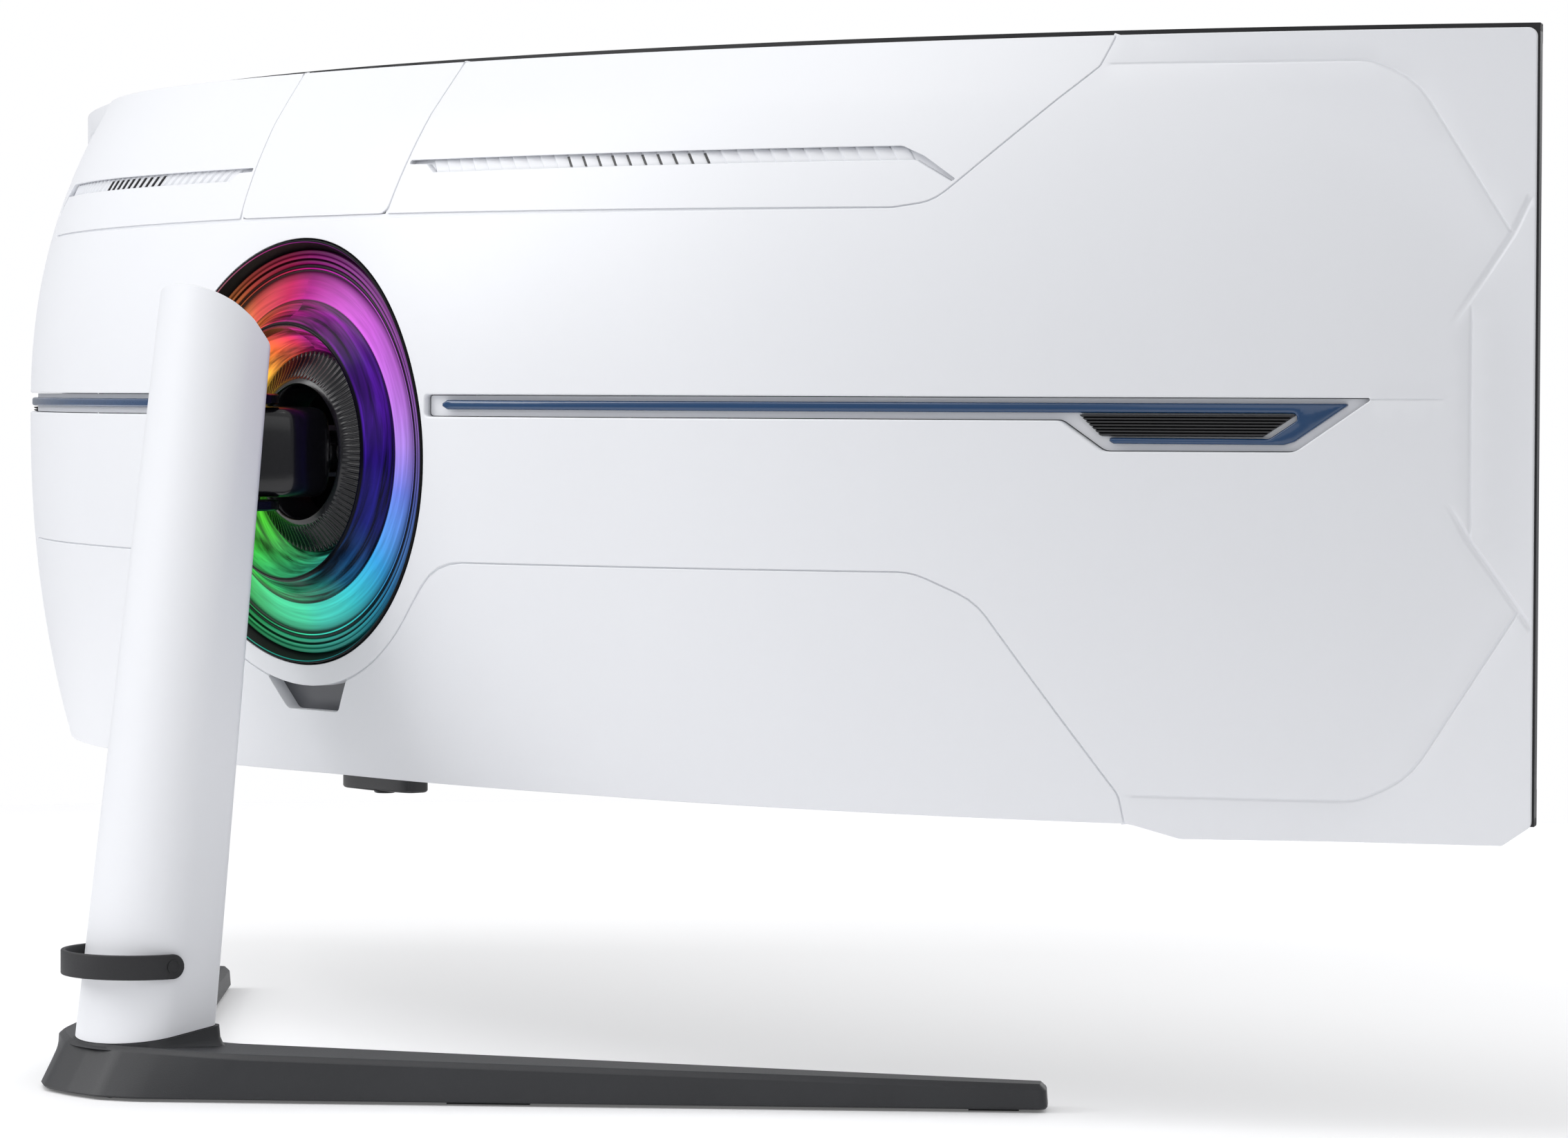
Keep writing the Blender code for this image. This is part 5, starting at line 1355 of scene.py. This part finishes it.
def foot():
    """The V foot: two tapering legs with chamfered edges, a flared heel and a riser under the column."""
    tip, heel = Vector(LEG_TIP), Vector(LEG_HEEL)
    along = (tip - heel).normalized()
    end = tip + Vector((along.y, -along.x)) * LEG_TIP_WIDE
    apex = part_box("foot_casting")[1].y - PANEL_Y
    half = [(0.0, apex), (0.022, apex - 0.0015), LEG_HEEL, LEG_TIP, tuple(end), (0.024, 0.1490),
            (0.0, 0.1430)]
    whole = half + [(-x, y) for x, y in reversed(half[1:-1])]
    radii = [0.03, 0.02, 0.035, 0.0045, 0.0045, 0.02, 0.01, 0.02, 0.0045, 0.0045, 0.035, 0.02]
    loop = turned_to(rounded(whole, radii, step=0.012), 1)
    rows = []
    for amount, level, upper in ((0.0010, 0.0, 0), (0.0, 0.0010, 0), (0.0006, -LEG_CHAMFER, 1),
                                 (0.0010, -LEG_CHAMFER * 0.75, 1), (0.0029, -0.0004, 1), (0.0034, 0.0, 1)):
        row = []
        for (x, y), (_, y0) in zip(inset(loop, amount), loop):
            lean = HEEL_LEAN * float(np.clip((y0 - LEAN_FROM) / LEAN_OVER, 0, 1))
            row.append((x, PANEL_Y + y - upper * lean, (foot_top(y) if upper else SOLE) + level))
        rows.append(row)
    loft("foot_body", rows, "stand", "foot_paint", ("foot_casting",), smooth=25)
    rows = []
    for level, pull in ((0.0, -0.0045), (0.25, -0.0028), (0.5, -0.0018), (1.0, -0.0014)):
        ring = []
        for x, t in column_ring(COLUMN_FOOT_Z, pull):
            floor, roof = foot_top(t) - 0.002 - PANEL_Z, column_foot(t) - GAP
            ring.append(world(x, t, floor + (roof - floor) * level))
        rows.append(ring)
    loft("foot_riser", rows, "stand", "foot_paint", smooth=30)


# ---------------------------------------------------------------- screen and control pod
FRONT = -0.012  # depth of the bezel's front face
WINDOW_TOP, WINDOW_LOW, WINDOW_END = 0.009, 0.0165, 0.0095  # widths of the frame round the display
FRAME_EDGE, FRAME_STEP = 0.0008, 0.0012


def swept(name, section, slot, replaces, end, stations=120):
    """A closed section of (t, z) points swept along the panel's arc between its two ends."""
    rows = [[tuple(on_panel(s, t, z)) for t, z in section] for s in np.linspace(-end, end, stations)]
    loft(name, rows, "head", slot, replaces, smooth=40)


def screen():
    """The thin black frame and the display in it."""
    edge, step = FRONT + FRAME_EDGE, FRONT + FRAME_STEP
    for name, sign, width in (("top", 1, WINDOW_TOP), ("bottom", -1, WINDOW_LOW)):
        outer = sign * PANEL_HALF
        inner = outer - sign * width
        tongue = outer - sign * 0.0037
        section = [(-GAP, outer), (edge, outer), (FRONT + FRAME_EDGE * 0.3, outer - sign * FRAME_EDGE * 0.3),
                   (FRONT, outer - sign * FRAME_EDGE), (FRONT, inner + sign * 0.0005),
                   (FRONT + 0.0005, inner), (step, inner), (step, tongue), (-GAP, tongue)]
        swept(f"bezel_{name}", section, "black_plastic", ("front_bezel",) if sign > 0 else (), HALF_ARC)
    inner = HALF_ARC - WINDOW_END
    outline = [(HALF_ARC, -GAP), (HALF_ARC, edge), (HALF_ARC - 0.0003, FRONT + 0.0003),
               (HALF_ARC - FRAME_EDGE, FRONT), (inner + 0.0005, FRONT), (inner, FRONT + 0.0005),
               (inner, step), (HALF_ARC - 0.0040, step), (HALF_ARC - 0.0040, -GAP)]
    reach = PANEL_HALF - 0.0002
    for side, word in SIDES:
        rows = [[tuple(on_panel(side * s, t, z)) for s, t in outline] for z in np.linspace(-reach, reach, 12)]
        loft(f"bezel_{word}", rows, "head", "black_plastic", smooth=40)
    face, back, high = FRONT + 0.0015, FRONT + 0.0035, PANEL_HALF - 0.0045
    swept("display_face", ((face, -high), (face, high), (back, high), (back, -high)), "screen_glass",
          ("lcd_panel",), HALF_ARC - 0.0048)


def control_pod():
    """A flat pod with a round hole below, and the dished cap of the stick in the hole."""
    low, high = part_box("control_pod")
    centre_y = (low.y + high.y) / 2
    deep = (high.y - low.y) / 2
    slices = [(z, superellipse(high.x - pull, deep - pull, 5.0, 72)) for z, pull in
              ((high.z, 0.0), (low.z + 0.0012, 0.0), (low.z + 0.0004, 0.0005), (low.z, 0.0014))]
    slices += [(low.z, superellipse(0.0075, 0.0075, 2.0, 72)),
               (low.z + 0.008, superellipse(0.0074, 0.0074, 2.0, 72))]
    rows = [[(x, centre_y + y, z) for x, y in outline] for z, outline in slices]
    loft("control_pod_shell", rows, "head", "black_plastic", ("control_pod",))
    low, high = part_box("jog_cap")
    rows = []
    for z, radius in ((high.z, 0.0060), (low.z + 0.0010, 0.0057), (low.z + 0.0003, 0.0053), (low.z, 0.0044),
                      (low.z + 0.0004, 0.0030), (low.z + 0.0006, 0.0012)):
        rows.append([(x, centre_y + y, z) for x, y in superellipse(radius, radius, 2.0, 48)])
    loft("jog_cap_dished", rows, "jog_cap", "black_plastic", ("jog_cap",))


# ---------------------------------------------------------------- studio
def area_light(name, place, target, size, power):
    data = bpy.data.lights.new(name, "AREA")
    data.shape = "RECTANGLE"
    data.size, data.size_y = size
    data.energy = power
    made = bpy.data.objects.new(name, data)
    made.location = place
    made.rotation_mode = "QUATERNION"
    made.rotation_quaternion = (Vector(target) - Vector(place)).to_track_quat("-Z", "Y")
    bpy.context.collection.objects.link(made)
FLOOR_RADIUS = 1.75
FLOOR_GLOW = 0.12
SKY_SIDE, SKY_TOP, SKY_TOP_AT = (0.42, 0.43, 0.45, 1), (1.0, 1.0, 1.0, 1), 0.75
SKY_SEEN = (1.35, 1.35, 1.36, 1)
SKY_STRENGTH = 0.74


def studio():
    """A pale round floor, an even sky and four soft lights."""
    mesh = bpy.data.meshes.new("studio_floor")
    angles = np.arange(96) * math.pi / 48
    rim = [(FLOOR_RADIUS * math.cos(a), FLOOR_RADIUS * math.sin(a), 0.0) for a in angles]
    mesh.from_pydata(rim, [], [tuple(range(96))])
    floor = bpy.data.objects.new("studio_floor", mesh)
    bpy.context.collection.objects.link(floor)
    pale = grained("pale_floor", (0.88, 0.88, 0.89), 0.7, grain=60.0, tint=0.008)
    shader = pale.node_tree.nodes["Principled BSDF"]
    shader.inputs["Emission Color"].default_value = (1.0, 1.0, 1.0, 1.0)
    shader.inputs["Emission Strength"].default_value = FLOOR_GLOW
    mesh.materials.append(pale)
    studio_air = bpy.data.worlds.new("studio")
    studio_air.use_nodes = True
    tree = studio_air.node_tree
    sky = tree.nodes["Background"]
    # brighter overhead than at the sides, and plain white where it is seen directly
    place = tree.nodes.new("ShaderNodeTexCoord")
    split = tree.nodes.new("ShaderNodeSeparateXYZ")
    tree.links.new(place.outputs["Generated"], split.inputs[0])
    ramp = tree.nodes.new("ShaderNodeValToRGB")
    ramp.color_ramp.elements[0].position = 0.0
    ramp.color_ramp.elements[0].color = SKY_SIDE
    ramp.color_ramp.elements[1].position = SKY_TOP_AT
    ramp.color_ramp.elements[1].color = SKY_TOP
    tree.links.new(split.outputs["Z"], ramp.inputs["Fac"])
    seen = tree.nodes.new("ShaderNodeLightPath")
    plain = tree.nodes.new("ShaderNodeMix")
    plain.data_type = "RGBA"
    plain.inputs[7].default_value = SKY_SEEN
    tree.links.new(seen.outputs["Is Camera Ray"], plain.inputs[0])
    tree.links.new(ramp.outputs["Color"], plain.inputs[6])
    tree.links.new(plain.outputs[2], sky.inputs["Color"])
    sky.inputs["Strength"].default_value = SKY_STRENGTH
    bpy.context.scene.world = studio_air
    area_light("key", (1.7, 2.3, 1.9), (0.1, 0.0, 0.3), (1.8, 1.8), 41)
    area_light("fill", (-2.2, 1.5, 1.3), (0.0, 0.1, 0.3), (1.6, 1.6), 5)
    area_light("over", (0.2, 1.0, 2.4), (0.1, 0.0, 0.3), (1.6, 1.2), 16)
    area_light("front", (0.3, -2.6, 1.4), (0.0, 0.0, 0.3), (2.0, 1.4), 20)


def camera():
    """The main viewpoint: behind the monitor and to its right, a little above its middle."""
    azimuth, elevation, roll = math.radians(48.625), math.radians(1.862), math.radians(0.212)
    target = Vector(world(-0.11, -0.1377, -0.0764))
    distance = 2.758
    back = Vector((-math.sin(azimuth) * math.cos(elevation), math.cos(azimuth) * math.cos(elevation),
                   math.sin(elevation)))
    right = (-back).cross(Vector((0, 0, 1))).normalized()
    up = right.cross(-back)
    right, up = right * math.cos(roll) + up * math.sin(roll), up * math.cos(roll) - right * math.sin(roll)
    data = bpy.data.cameras.new("camera")
    data.sensor_width = 36.0
    data.lens = 123.8
    made = bpy.data.objects.new("camera", data)
    turn = Matrix((right, up, back)).transposed().to_4x4()
    made.matrix_world = Matrix.Translation(target + back * distance) @ turn
    bpy.context.collection.objects.link(made)
    bpy.context.scene.camera = made


bpy.context.scene.view_settings.view_transform = "Standard"
camera()
studio()
rear_covers()
cover_trim()
light_ring()
hub()
neck()
column()
column_lip()
strap()
foot()
screen()
control_pod()
